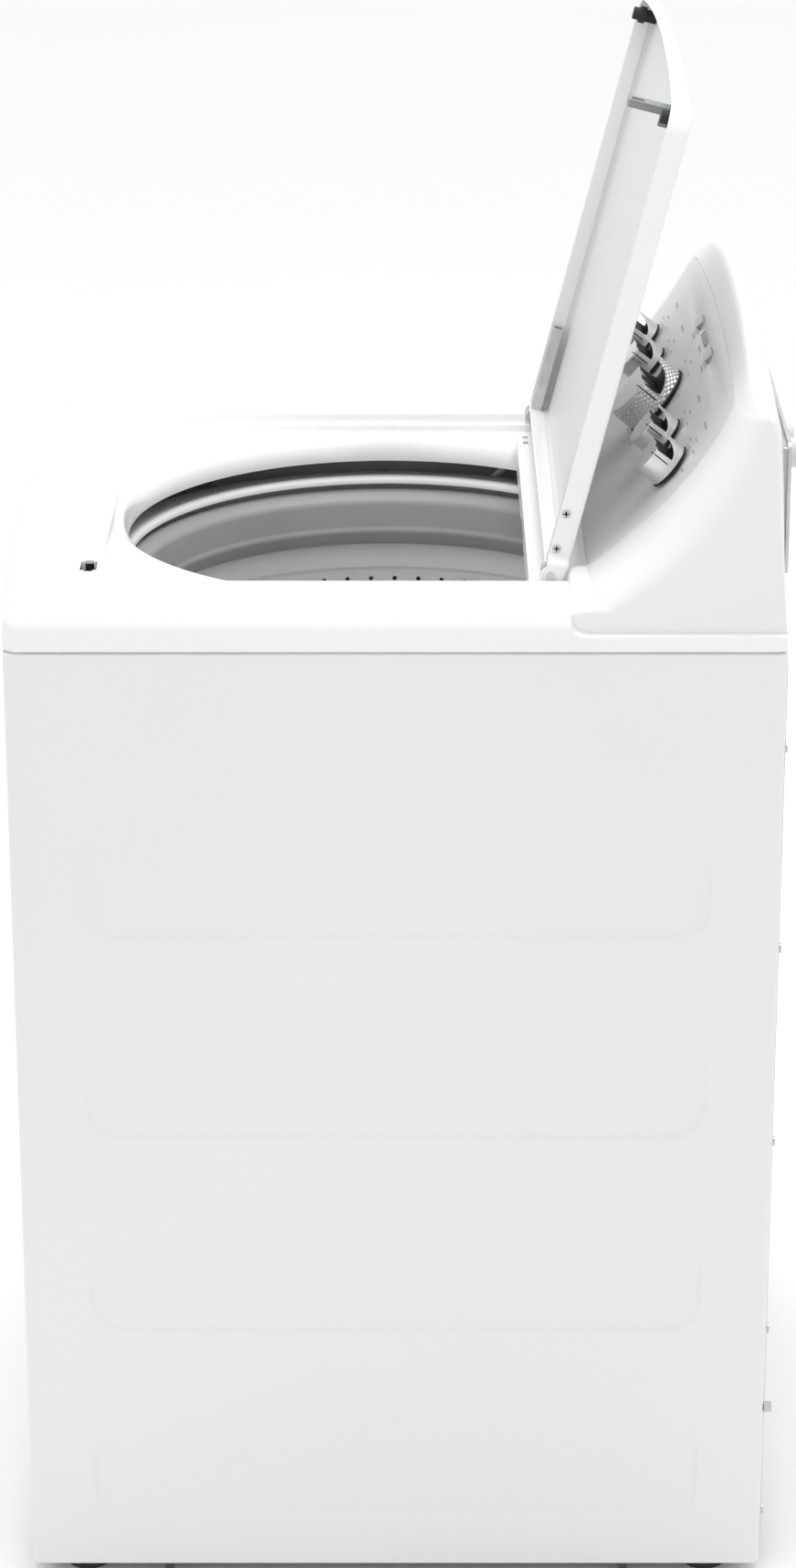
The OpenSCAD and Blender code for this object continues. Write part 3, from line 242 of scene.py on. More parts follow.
def solidify(obj, thickness, offset=-1.0, even=True):
    """Gives a sheet its thickness, inwards unless offset says otherwise."""
    mod = obj.modifiers.new("solidify", "SOLIDIFY")
    mod.thickness = thickness * MM
    mod.offset = offset
    mod.use_even_offset = even
    obj.modifiers.new("split", "EDGE_SPLIT").split_angle = math.radians(42)


def rounded(corners, radii):
    """A closed outline with each corner rounded by a short curve."""
    corners = [np.array(p, float) for p in corners]
    out = []
    for i, (p, r) in enumerate(zip(corners, radii)):
        a, b = corners[i - 1], corners[(i + 1) % len(corners)]
        la, lb = np.linalg.norm(a - p), np.linalg.norm(b - p)
        cut = min(r, la * 0.45, lb * 0.45)
        p0, p1 = p + (a - p) / la * cut, p + (b - p) / lb * cut
        for t in (0, 0.25, 0.5, 0.75, 1):
            out.append((1 - t) ** 2 * p0 + 2 * t * (1 - t) * p + t ** 2 * p1)
    return np.array(out)


def revolve(name, corners, radii, mat, body, replaced=()):
    """A closed outline of (radius, height) corners, rounded and turned about the tub's axis."""
    profile = rounded(corners, radii)
    a = np.linspace(0, 2 * math.pi, 192, endpoint=False)[:, None]
    x = profile[:, 0] * np.cos(a)
    pts = np.stack([x, AXIS_Y + profile[:, 0] * np.sin(a), np.broadcast_to(profile[:, 1], x.shape)], axis=-1)
    faces = grid_faces(len(a), len(profile), wrap_rows=True, wrap_cols=True)
    piece(name, pts, faces, mat, body, replaced)


def smoothstep(x):
    """From 0 to 1 as x goes from 0 to 1, flat at both ends."""
    x = np.clip(x, 0, 1)
    return x * x * x * (x * (6 * x - 15) + 10)


def meet(a, b, r):
    """Signed distance of the overlap of two shapes, its corner rounded by r."""
    return (np.minimum(np.maximum(a + r, b + r), 0)
            + np.hypot(np.maximum(a + r, 0), np.maximum(b + r, 0)) - r)


def box_sdf(x, y, x_half, y0, y1, r):
    """Signed distance of a rectangle with corners rounded by r."""
    return meet(np.abs(x) - x_half, np.abs(y - (y0 + y1) / 2) - (y1 - y0) / 2, r)


# ---------- camera, light and floor ----------

CAMERA_DROP = math.radians(20.52)
camera_data = bpy.data.cameras.new("camera")
camera = linked("camera", camera_data)
bpy.context.scene.camera = camera
camera.location = (3.8775, 0.0105, 2.1186)
look = Vector((-math.cos(CAMERA_DROP), 0, -math.sin(CAMERA_DROP)))
camera.rotation_euler = look.to_track_quat("-Z", "Y").to_euler()
camera_data.sensor_fit = "VERTICAL"
camera_data.sensor_height = 36.0
camera_data.lens = 99.22
camera_data.shift_x = -0.00588
camera_data.clip_end = 50.0

light_data = bpy.data.lights.new("overhead", "AREA")
light_data.shape = "RECTANGLE"
light_data.size = light_data.size_y = 2.2
light_data.energy = 44
light = linked("overhead", light_data)
light.location = (-0.25, 0.15, 3.3)
aim = Vector((-0.05, 0, 0.9)) - light.location
light.rotation_euler = aim.to_track_quat("-Z", "Y").to_euler()

world = bpy.data.worlds.new("studio")
bpy.context.scene.world = world
world.use_nodes = True
background = world.node_tree.nodes["Background"]
background.inputs["Color"].default_value = (1, 1, 1, 1)
background.inputs["Strength"].default_value = 0.98
bpy.context.scene.view_settings.view_transform = "Standard"

floor_mesh = bpy.data.meshes.new("floor")
floor_mesh.from_pydata([(-12, -12, 0), (12, -12, 0), (12, 12, 0), (-12, 12, 0)], [], [(0, 1, 2, 3)])
floor = linked("floor", floor_mesh)
floor_mesh.materials.append(principled("floor", (0.97, 0.97, 0.97), 0.9, tint=0.004, tint_scale=1.0))


# ---------- cabinet ----------

PRESS_LOW, PRESS_PITCH, PRESS_TALL, PRESS_HALF, PRESS_R, PRESS_DEEP = 66, 194.6, 139.5, 278.0, 30, 2.4
PRESS_ROWS = [(PRESS_LOW + PRESS_PITCH * i, PRESS_LOW + PRESS_PITCH * i + PRESS_TALL) for i in range(4)]


def dense(low, high, marks, far_step):
    """Coordinates from low to high, closer together near the marks."""
    out = {low, high}
    x = low
    while x < high:
        gap = min(abs(x - m) for m in marks)
        x += 1.0 if gap < 6 else (3.0 if gap < 34 else far_step)
        if x < high:
            out.add(round(x, 3))
    return sorted(out)


def press_depth(y, z):
    """How far the pressed panels sink the cabinet's side."""
    depth = np.zeros_like(y)
    for low, high in PRESS_ROWS:
        gap = box_sdf(y, z, PRESS_HALF, low, high, PRESS_R)
        fade = 0.06 + 0.94 * smoothstep((high - z) / (high - low) * 1.15) ** 2
        depth = np.maximum(depth, PRESS_DEEP * fade * smoothstep((3.0 - gap) / 6.0))
    return depth


def cabinet():
    """The sheet round the left side, the front and the right side, turned in at its foot and rear."""
    half_w, half_d, r = 343.0, REAR_Y, 8.0
    ys = dense(-332, 332, (-PRESS_HALF, PRESS_HALF), 24)
    zs = dense(19, 912, [z for row in PRESS_ROWS for z in row], 22)
    turn = np.linspace(0, math.pi / 2, 7)[1:-1]
    left = [(-x, half_d, 0) for x in (313, 320, 328, half_w - r)]
    left += [(-half_w + r - r * math.sin(a), half_d - r + r * math.cos(a), 0) for a in turn]
    left += [(-half_w, y, 1) for y in ys[::-1]]
    left += [(-half_w + r - r * math.cos(a), -half_d + r - r * math.sin(a), 0) for a in turn]
    front = [(x, -half_d, 0) for x in np.linspace(-half_w + r, half_w - r, 30)]
    x, y, pressed = np.array(left + front + [(-x, y, side) for x, y, side in reversed(left)]).T
    rows = [(18.0, 13.0), (16.6, 13.0), (16.0, 12.4), (16.0, 2.0), (16.3, 0.8), (17.0, 0.2)]
    rows += [(z, 0.0) for z in zs]
    rows += [(914.2, 0.1), (914.9, 0.7), (915.2, 1.6), (915.3, 3.0), (915.6, 3.3), (926.0, 3.3)]
    pts = []
    for z, inset in rows:
        sunk = x - np.sign(x) * pressed * press_depth(y, np.full_like(y, z))
        pts.append(np.stack([sunk * (half_w - inset) / half_w, y * (half_d - inset) / half_d,
                             np.full_like(x, z)], axis=-1))
    obj = piece("cabinet", pts, grid_faces(len(rows), len(x)), "cabinet_paint", "machine",
                replaced=("cabinet_shell",))
    solidify(obj, 1.3)


cabinet()


# ---------- top panel ----------

# The top's outlines from above, as signed distances that are negative inside

def nose_gap(x, y):
    return np.hypot(x, y - (NOSE_R - TOP_FRONT)) - NOSE_R


def outer_sdf(x, y):
    return meet(np.abs(x) - TOP_HALF, nose_gap(x, y), 14.0)


def recess_sdf(x, y):
    bow = np.hypot(x, y - (BOW_R - 311)) - BOW_R
    return meet(np.abs(x) - 270.0, bow, 30.0)


def dish_sdf(x, y):
    return box_sdf(x, y, 262.0, -262.0, 170.0, 30.0)


def ridge_sdf(x, y):
    return np.maximum(np.abs(x) - RIDGE_HALF, nose_gap(x, y) + NOSE_W)


def top_height(x, y):
    """Height of the top: its side shoulders and nose, the lid's recess and the dished floor."""
    side = np.clip((np.abs(x) - RIDGE_HALF) / SHOULDER_W, 0, 1)
    z_side = SHOULDER_Z + (RIDGE_Z - SHOULDER_Z) * np.sqrt(np.maximum(0, 1 - side ** 2))
    front = np.clip((nose_gap(x, y) + NOSE_W) / NOSE_W, 0, 1)
    z_nose = NOSE_Z + (RIDGE_Z - NOSE_Z) * np.sqrt(np.maximum(0, 1 - front ** 2))
    soft = 5.0
    h = np.clip(0.5 + 0.5 * (z_nose - z_side) / soft, 0, 1)
    z = z_nose * (1 - h) + z_side * h - soft * h * (1 - h)
    z += 0.25 * soft * np.exp(-np.abs(z_nose - z_side) / soft * 2)
    from_recess = recess_sdf(x, y)
    z = np.minimum(z, RIDGE_Z) - 4.0 * np.clip(1 - from_recess / 22, 0, 1) ** 2
    z = LEDGE_Z + (z - LEDGE_Z) * smoothstep((from_recess + 3.6) / 6.6)
    return DISH_Z + (z - DISH_Z) * smoothstep((dish_sdf(x, y) + 3.5) / 6.0)


def reach(sdf, dx, dy, level, middle_y=AXIS_Y):
    """Distance along each ray from the middle at which the shape's signed distance is level."""
    low, high = np.zeros_like(dx), np.full_like(dx, 700.0)
    for _ in range(44):
        mid = (low + high) / 2
        inside = sdf(mid * dx, middle_y + mid * dy) < level
        low, high = np.where(inside, mid, low), np.where(inside, high, mid)
    return (low + high) / 2


def between(a, b, fractions):
    """Values at the given fractions of the way from a to b."""
    return [a + (b - a) * f for f in fractions]


def cut_strike_slot(obj):
    """Cuts the slot that the lid's strike goes down through."""
    mesh = bpy.data.meshes.new("slot_cutter")
    bm = bmesh.new()
    bmesh.ops.create_cube(bm, size=1.0)
    bmesh.ops.scale(bm, vec=(0.032, 0.015, 0.06), verts=bm.verts)
    bmesh.ops.translate(bm, vec=(0.2, -0.2735, 0.945), verts=bm.verts)
    upright = [e for e in bm.edges if abs(e.verts[0].co.z - e.verts[1].co.z) > 0.01]
    bmesh.ops.bevel(bm, geom=upright, offset=0.0035, segments=4, affect="EDGES")
    bm.to_mesh(mesh)
    bm.free()
    cutter = linked("slot_cutter", mesh)
    mod = obj.modifiers.new("slot", "BOOLEAN")
    mod.object = cutter
    mod.solver = "EXACT"
    apply_modifiers(obj)
    bpy.data.objects.remove(cutter)


def top_panel():
    """The enamelled top in rings about the mouth, from its lip out to the skirt, as far back as the deck."""
    rear = DECK_Y - AXIS_Y
    corner = math.atan2(rear, TOP_HALF)
    a = np.linspace(0, 2 * math.pi, 900, endpoint=False)
    a = np.sort(np.concatenate([a, [corner, math.pi - corner]]))
    dx, dy = np.cos(a), np.sin(a)
    clip = np.where(dy > 1e-6, rear / np.maximum(dy, 1e-6), 1e9)
    chord = np.where(dy > 1e-6, (SILL_Y - AXIS_Y) / np.maximum(dy, 1e-6), 1e9)
    top_r = np.minimum(np.minimum(264.5, reach(dish_sdf, dx, dy, -4.3)), chord)
    wide = np.maximum(top_r - MOUTH_R, 0)
    rings = [(np.minimum(MOUTH_R, chord) + 1.2, 918.0)]
    for k in range(12, -1, -1):
        b = math.pi / 2 * k / 12
        rings.append((np.minimum(top_r - wide * math.sin(b), chord), DISH_Z - 23.5 * (1 - math.cos(b))))
    last = rings[-1][0]
    surface = between(last, reach(dish_sdf, dx, dy, -4.2), (0.25, 0.5, 0.75, 0.95))
    surface += [reach(dish_sdf, dx, dy, s) for s in np.linspace(-4.0, 3.0, 11)]
    surface += between(surface[-1], reach(recess_sdf, dx, dy, -4.4), (0.2, 0.4, 0.6, 0.8))
    surface += [reach(recess_sdf, dx, dy, s) for s in np.linspace(-4.2, 3.6, 16)]
    ridge = np.maximum(surface[-1], reach(ridge_sdf, dx, dy, 0.0))
    surface += between(surface[-1], ridge, (0.33, 0.66))
    surface += between(ridge, reach(outer_sdf, dx, dy, -0.02), np.sin(np.linspace(0, math.pi / 2, 22)))
    running = np.minimum(last, clip)
    for t in surface:
        running = np.maximum(running, np.minimum(np.maximum(t, last), clip))
        rings.append((running, top_height(running * dx, AXIS_Y + running * dy)))
    end_t, end_z = rings[-1]
    clipped = end_t >= clip - 1e-6
    for z, inset in ((930, 0), (926, 0), (922, 0), (918.2, 0), (917.2, 0.6), (916.9, 1.8), (917.4, 4.0),
                     (921.0, 4.4)):
        drop = np.where(clipped, np.minimum(end_z, np.maximum(z, 930.0)), np.minimum(end_z, z))
        rings.append((np.where(clipped, end_t, end_t - inset), drop))
    obj = piece("top_cover", polar(rings, dx, dy, AXIS_Y), grid_faces(len(rings), len(a), wrap_cols=True),
                "top_enamel", "machine", replaced=("top_panel",))
    cut_strike_slot(obj)
    solidify(obj, 1.4)


def apply_modifiers(obj):
    """Bakes the modifiers into the object's own mesh."""
    graph = bpy.context.evaluated_depsgraph_get()
    graph.update()
    mesh = bpy.data.meshes.new_from_object(obj.evaluated_get(graph))
    old = obj.data
    obj.modifiers.clear()
    obj.data = mesh
    bpy.data.meshes.remove(old)


top_panel()


def rear_deck():
    """The flat rear of the top, under the console, with its skirt."""
    turn = np.linspace(0, math.pi / 2, 6)
    levels = [(921, 4.4), (917.4, 4.0), (916.9, 1.8), (917.2, 0.6), (918.2, 0)]
    levels += [(DECK_Z - 3.5 + 3.5 * math.sin(t), 3.5 * (1 - math.cos(t))) for t in turn]
    rings = []
    for z, inset in levels:
        w, d, r = TOP_HALF - inset, REAR_Y - inset, max(1.5, 8 - inset)
        right = [(w, DECK_Y, z)] + [(w - r + r * math.cos(t), d - r + r * math.sin(t), z) for t in turn]
        rings.append(right + [(-x, y, z) for x, y, z in reversed(right)])
    rows, cols = len(rings), len(rings[0])
    faces = grid_faces(rows, cols)
    faces.append(tuple((rows - 1) * cols + j for j in range(cols)))
    obj = piece("top_rear_deck", rings, faces, "top_enamel", "machine")
    sharp_edges(obj, 40)
    solidify(obj, 1.4)


rear_deck()


def rear_flange():
    """The edge of the top folded down behind the cabinet, in front of the rear panel's upper edge."""
    profile = [(326.0, 921.0), (334.5, 921.0), (336.8, 920.2), (338.0, 918.0), (338.0, 912.0),
               (338.0, 903.5), (337.4, 902.4), (336.2, 902.0)]
    xs = [-311.0, -310.2, *range(-300, 301, 50), 310.2, 311.0]
    verts = [(x, y, z + (0.8 if abs(x) > 310.5 and z < 903 else 0.0)) for x in xs for y, z in profile]
    obj = piece("top_rear_flange", verts, grid_faces(len(xs), len(profile)), "top_enamel", "machine")
    solidify(obj, 1.2, 0.0)


rear_flange()


def toe_blends():
    """The hollow run from the shoulder down to the rear deck, beside the console's two toes."""
    length, roll = 17.0, 3.5
    rise = RIDGE_Z - SHOULDER_Z
    turn = np.linspace(math.radians(50), math.pi / 2, 12)
    shoulder = [(RIDGE_HALF + SHOULDER_W * math.sin(t), SHOULDER_Z + rise * math.cos(t)) for t in turn]
    shoulder += [(TOP_HALF, z) for z in (932.0, 930.0, 928.4)]
    inner, outer = shoulder[0][0], TOP_HALF - roll
    deck = [(inner + (outer - inner) * k / 7, DECK_Z) for k in range(8)]
    deck += [(outer + roll * math.sin(t), DECK_Z - roll + roll * math.cos(t))
             for t in np.linspace(0.2, math.pi / 2, 7)]
    shoulder, deck = np.array(shoulder), np.array(deck)
    verts, faces = [], []
    for side in (-1, 1):
        start = len(verts)
        q = np.linspace(0, 1, 15)
        for along in q:
            weight = 1 - math.sqrt(1 - (1 - along) ** 2)
            for x, z in deck + (shoulder - deck) * weight:
                verts.append((side * x, DECK_Y + length * along - 0.02, z + 0.03))
        faces += grid_faces(len(q), len(deck), start=start)
    solidify(piece("top_toe_blends", verts, faces, "top_enamel", "machine"), 0.8)


toe_blends()


# ---------- lid ----------

LID_POSE = (Matrix.Translation((0, HINGE_Y * MM, HINGE_Z * MM))
            @ Matrix.Rotation(-math.radians(LID_OPEN), 4, "X")
            @ Matrix.Translation((0, -HINGE_Y * MM, -HINGE_Z * MM)))
LID_MID_Y = -88.0


def lid_sdf(x, y):
    """The lid's outline: bowed in front and straight behind."""
    side = np.abs(x) - LID_HALF
    bow = np.hypot(x, y - (BOW_R - LID_FRONT)) - BOW_R
    return np.where(y > LID_MID_Y, meet(side, y - LID_REAR, 9.0), meet(side, bow, 24.0))


def lid():
    """The pan in rings about its middle: top face, side walls, turned rim and inner faces."""
    corners = [math.atan2(15 - LID_FRONT - LID_MID_Y, LID_HALF), math.atan2(LID_REAR - LID_MID_Y, LID_HALF)]
    corners += [math.pi - c for c in corners]
    close = np.mod([np.linspace(c - 0.14, c + 0.14, 40) for c in corners], 2 * math.pi)
    a = np.concatenate([np.linspace(0, 2 * math.pi, 560, endpoint=False), close.ravel()])
    a = np.unique(np.round(a, 5))
    dx, dy = np.cos(a), np.sin(a)
    edge = reach(lid_sdf, dx, dy, 0.0, LID_MID_Y)
    inner_edge = reach(lid_sdf, dx, dy, -17.5, LID_MID_Y)
    front = smoothstep((-(edge * dy) - 150) / 60) * smoothstep((247 - np.abs(edge * dx)) / 30)
    setback, rise = 3.5 + 13.0 * front, 3.5 + 12.0 * front
    rings = [(inner_edge * f, LID_TOP) for f in (0.0, 0.3, 0.6, 0.85, 1.0)]
    for k in range(1, 11):
        b = math.pi / 2 * k / 10
        t = np.maximum(edge - setback * (1 - math.sin(b)), inner_edge)
        rings.append((t, LID_TOP - rise * (1 - math.cos(b))))
    low = LID_TOP - rise
    rings += [(edge, low + (RIM_Z + 0.8 - low) * f) for f in (0.4, 0.85)]
    rings += [(edge - back, RIM_Z + up)
              for back, up in ((0.1, 0.35), (0.5, 0), (1.4, 0), (1.9, 0.4), (2.0, 1.0))]
    under, inner_rise = LID_TOP - 2.0, np.minimum(rise + 1.0, 14.5)
    for k in range(9, -1, -1):
        b = math.pi / 2 * k / 9
        t = np.maximum(edge - 2.0 - setback * (1 - math.sin(b)), inner_edge - 2.5)
        rings.append((t, under - inner_rise * (1 - math.cos(b))))
    rings += [((inner_edge - 4.0) * f, under) for f in (1.0, 0.7, 0.4, 0.0)]
    obj = piece("lid_pan", polar(rings, dx, dy, LID_MID_Y), grid_faces(len(rings), len(a), wrap_cols=True),
                "top_enamel", "lid", replaced=("lid_panel",), place=LID_POSE)
    # The downward facing inner faces take the darker grey, as painted shade inside the open lid.
    obj.data.materials.append(MATS["lid_inner_shade"])
    closed = LID_POSE.inverted()
    for face in obj.data.polygons:
        spot = closed @ face.center / MM
        if LID_TOP - 16.5 < spot.z < LID_TOP - 1.0 and (closed.to_3x3() @ face.normal).z < -0.05:
            face.material_index = 1


lid()


def hinge_covers():
    """The flared rear ends of the lid's side walls, which pass outside the hinge brackets."""
    verts, faces = [], []
    arc = np.linspace(0, math.pi / 2, 6)
    ys = np.linspace(116.5, 143, 34)
    roll = 3.5
    for side in (-1, 1):
        start = len(verts)
        for y in ys:
            wall = LID_HALF + 0.1 + 7.5 * float(smoothstep((y - 117) / 9.5))
            lift = 6 - math.sqrt(36 - float(np.clip(y - 137, 0, 5.9)) ** 2)
            low, top = RIM_Z + 0.4 + lift, LID_TOP - 0.4 - lift
            section = [(256.5, top)]
            section += [(wall - roll + roll * math.sin(t), top - roll + roll * math.cos(t)) for t in arc]
            section += [(wall, low + (top - roll - low) * f) for f in (0.66, 0.33, 0.0)]
            verts += [(side * x, y, z) for x, z in section]
        faces += grid_faces(len(ys), len(section), start=start)
    obj = piece("lid_hinge_covers", verts, faces, "top_enamel", "lid", place=LID_POSE)
    solidify(obj, 0.8, 0.0, even=False)


hinge_covers()


# ---------- console ----------

# Places up the console's profile, the part of its width that the face takes, and the arch of its crown
FACE_S = np.unique(np.concatenate([np.linspace(0, 1, 33), [0.006, 0.012, 0.02], [0.955, 0.98, 0.992]]))
ZONE = 0.8
CROWN = 38.0


def bend(s, r, length):
    """How far a corner of radius r pulls the edge in, at s along a length."""
    t = np.maximum(0, r - s * length)
    return r - np.sqrt(np.maximum(0, r * r - t * t))


def face_w(s):
    """Half the face's width, at s of the way up it."""
    swell = 18 * np.sin(np.pi * np.clip((s - 0.25) / 1.1, 0, 1))
    return FACE_HALF + swell - bend(s, 8, FACE_LEN) - bend(1 - s, 22, FACE_LEN)


def arch(x):
    """1 in the middle of the console, falling towards its ends."""
    return 1 - (x / 300.0) ** 2


def face_top(x):
    """How far up the face reaches, at x across it."""
    return FACE_LEN + 12 * arch(x)


def face_point(t, n):
    """The (y, z) of a place t up the face and n out from the chord across its hollow."""
    return np.array([FACE_Y + t * math.cos(FACE_TILT) - n * math.sin(FACE_TILT),
                     FACE_Z + t * math.sin(FACE_TILT) + n * math.cos(FACE_TILT)])


def face_depth(t):
    """Where the hollow face lies from its chord, at t up it: negative is inwards."""
    return FACE_ARC - FACE_SAG - np.sqrt(FACE_ARC ** 2 - (t - FACE_MID) ** 2)


def side_curve(s):
    """The (y, z) of the hollow front edge of the housing's ends, at s of the way up it."""
    a = math.radians(17 + 73 * s)
    return np.array([135 + 183 * math.sin(a), 932 + 191 * (1 - math.cos(a)) ** 0.75])


def shoulder_height(x):
    """Height of the top's shoulder under the housing's toes."""
    q = max(0.0, abs(x) - 284) / (TOP_HALF - 284)
    return SHOULDER_Z + 32 * math.sqrt(max(0.0, 1 - q * q))


def catmull(p0, p1, p2, p3, t):
    """The point t of the way from p1 to p2, on a smooth curve through all four."""
    return 0.5 * (2 * p1 + (p2 - p0) * t + (2 * p0 - 5 * p1 + 4 * p2 - p3) * t * t
                  + (3 * p1 - p0 - 3 * p2 + p3) * t ** 3)


def console_section(c):
    """One upright section of the housing, from its front foot over the crown to its rear foot."""
    side = -1 if c < 0 else 1
    in_face = min(1.0, abs(c) / ZONE)
    b = math.pi / 2 * max(0.0, (abs(c) - ZONE) / (1 - ZONE))
    x_face = in_face * FACE_HALF
    up = arch(x_face)
    near = [np.array([152, 932]), np.array([152, 952])]
    near += [face_point(s * face_top(x_face), face_depth(s * face_top(x_face))) for s in FACE_S]
    near += [np.array(p) for p in ((307, 1127 + CROWN * up), (318, 1123 + (CROWN - 3) * up),
                                   (327, 1112 + (CROWN - 4) * up), (333, 1087), (337.3, 977),
                                   (339, 932))]
    far = [np.array([152, 932]), np.array([152, shoulder_height(337)])]
    far += [side_curve(s) for s in FACE_S]
    far += [np.array(p) for p in ((319, 1122), (320, 1120), (321, 1115), (323, 1087), (334, 977),
                                  (339, 932))]
    widths = [FACE_HALF, FACE_HALF] + [float(face_w(s)) for s in FACE_S] + [266, 278, 290, 296, 296, 296]
    out = []
    for i, (p, q, w) in enumerate(zip(near, far, widths)):
        x = in_face * w + (337 - w) * math.sin(b)
        m = p + (q - p) * (1 - math.cos(b))
        z = shoulder_height(x) if i == 1 and b > 0 else m[1]
        out.append((side * x, m[0], z))
    return np.array(out)


def console():
    """The housing as one shell, open where the face and the rear cover go."""
    inner = np.linspace(-ZONE, ZONE, 41)
    outer = ZONE + (1 - ZONE) * np.linspace(0, 1, 25)[1:]
    cols = [console_section(c) for c in np.concatenate([-outer[::-1], inner, outer])]
    first, end = 2, len(cols[0]) - 1
    last = first + len(FACE_S) - 1
    steps = [(i, t) for i in range(end) for t in ((0.0,) if first <= i < last else (0.0, 0.2, 0.4, 0.6, 0.8))]
    pts = []
    for col in cols:
        for i, t in steps:
            before = i if i in (first, last) else max(0, i - 1)
            after = min(end, i + 2)
            pts.append(col[i] if t == 0 else catmull(col[before], col[i], col[i + 1], col[after], t))
        pts.append(col[end])
    rows = len(steps) + 1
    key = {i: k for k, (i, t) in enumerate(steps) if t == 0.0}
    hole_cols = range(len(outer), len(outer) + len(inner) - 1)
    hole_rows = [*range(key[first], key[last]), *range(key[last + 4], key[last + 5])]
    faces = []
    for c in range(len(cols) - 1):
        for r in range(rows - 1):
            if c not in hole_cols or r not in hole_rows:
                a = c * rows + r
                faces.append((a, a + rows, a + rows + 1, a + 1))
    faces.append(tuple(range(rows)))
    faces.append(tuple((len(cols) - 1) * rows + r for r in range(rows - 1, -1, -1)))
    obj = piece("console_shell", pts, faces, "white_plastic", "machine",
                replaced=("console_ends", "console_crown", "console_rails"))
    solidify(obj, 3.0)


console()


# ---------- face prints ----------

def face_prints():
    """Generic ticks, arcs and strokes printed on the hollow face."""
    verts, faces = [], []

    def line(points, width):
        """A thin printed line through (x, t) points."""
        faces.extend(grid_faces(len(points), 2, start=len(verts)))
        for i, (x, t) in enumerate(points):
            a, b = points[max(0, i - 1)], points[min(len(points) - 1, i + 1)]
            dx, dt = b[0] - a[0], b[1] - a[1]
            half = width / 2 / math.hypot(dx, dt)
            for side in (1, -1):
                up = t + side * dx * half
                verts.append((x - side * dt * half, *face_point(up, face_depth(up) + 0.12)))

    for i, x in enumerate((-215, -125, 0, 125, 215)):
        big = i == 2
        r0, count = (41, 24) if big else (26, 5)
        for k in range(count):
            a = math.radians(90 + (360 / count * k if big else (k - 2) * 36))
            ca, sa = math.cos(a), math.sin(a)
            line([(x + r0 * ca, KNOB_T + r0 * sa), (x + (r0 + 4) * ca, KNOB_T + (r0 + 4) * sa)], 0.9)
            if not big or k % 2 == 0:
                r1 = r0 + 7.5
                line([(x + r1 * ca - 5, KNOB_T + r1 * sa), (x + r1 * ca + 5, KNOB_T + r1 * sa)], 1.7)
        arc = [math.radians(d) for d in (range(0, 361, 8) if big else range(10, 171, 8))]
        line([(x + (r0 - 1.5) * math.cos(a), KNOB_T + (r0 - 1.5) * math.sin(a)) for a in arc], 0.5)
        line([(x - 11, KNOB_T + r0 + 22), (x + 11, KNOB_T + r0 + 22)], 2.4)
    for x in (-60, 60):
        line([(x - 9, 166), (x + 9, 166)], 1.6)
    piece("face_prints", verts, faces, "print_ink", "machine", smooth=False, weld=False)


face_prints()


# ---------- knobs ----------

FACE_POSE = Matrix.Translation((0, FACE_Y * MM, FACE_Z * MM)) @ Matrix.Rotation(FACE_TILT, 4, "X")


def knob_cap(node, x, r, height, bar, knurl):
    """A capped knob with a finger scoop cut across it; the big one is knurled round its wall."""
    n, steps = 240, 40
    a = np.linspace(0, 2 * math.pi, n, endpoint=False)
    lip = r - (1.4 if knurl else 0.2)

    def cut(py):
        """How far the scoop goes below the cap at each place across the knob."""
        u = (py - bar) / (r * 0.95 - bar)
        inside = np.clip(1 - np.clip(u, 0, 1) ** 2, 0, 1)
        return height * 0.68 * np.sqrt(inside) * smoothstep(py - bar + 0.5)

    rings = []
    for k in range(steps + 1):
        z = 1.2 + (height - 2.6) * k / steps
        rr = np.full(n, lip)
        if knurl and 3 < z < height - 4:
            row = math.pi * (z - 3) / (height - 7) * 5
            rr = rr + 1.1 * np.abs(np.sin(14 * a + row) * np.sin(14 * a - row))
        top = height - 1.4 - cut(r * np.sin(a))
        rings.append(np.stack([rr * np.cos(a), rr * np.sin(a), np.minimum(z, top)], -1))
    for rad in np.concatenate([lip - 1.4 * (1 - np.cos(np.linspace(0.3, math.pi / 2, 5))),
                               np.linspace(lip - 1.6, 0, 46)]):
        px, py = rad * np.cos(a), rad * np.sin(a)
        edge = 1.4 * (1 - math.sqrt(max(0.0, 1 - max(0.0, 1 - (lip - rad) / 1.4) ** 2)))
        rings.append(np.stack([px, py, height - edge - cut(py)], -1))
    pts = np.array(rings) + (x, KNOB_T, KNOB_N)
    faces = grid_faces(len(rings), n, wrap_cols=True)
    faces.append(tuple(range(n - 1, -1, -1)))
    obj = piece(node + "_cap", pts, faces, "knob_chrome", node + "_body", replaced=(node,), place=FACE_POSE)
    sharp_edges(obj, 48)
    # The faces inside each scoop take the near black material: painted shade and dark reflection in the
    # scoop.
    obj.data.materials.append(MATS["knob_dark"])
    local = FACE_POSE.inverted()
    for face in obj.data.polygons:
        spot = local @ face.center
        across = spot.y / MM - KNOB_T
        around = math.hypot(spot.x / MM - x, across)
        if around < r - (2.6 if knurl else 0.4) and bar - 0.4 < across < r * 0.93:
            face.material_index = 1


def knob_base(node, x, r):
    """The ring that the knob stands on, near black as painted shade and dark reflection at the knob's foot.
    """
    a = np.linspace(0, 2 * math.pi, 120, endpoint=False)
    rings = [(r - 3, 0.0), (r + 0.5, 0.0), (r + 0.9, 0.4), (r + 0.9, 1.1), (r + 0.5, 1.5), (r - 3, 1.5)]
    pts = polar(rings, np.cos(a), np.sin(a), 0.0) + (x, KNOB_T, KNOB_N + 0.05)
    faces = grid_faces(len(rings), len(a), wrap_rows=True, wrap_cols=True)
    piece(node + "_base", pts, faces, "knob_dark", node + "_body", place=FACE_POSE)


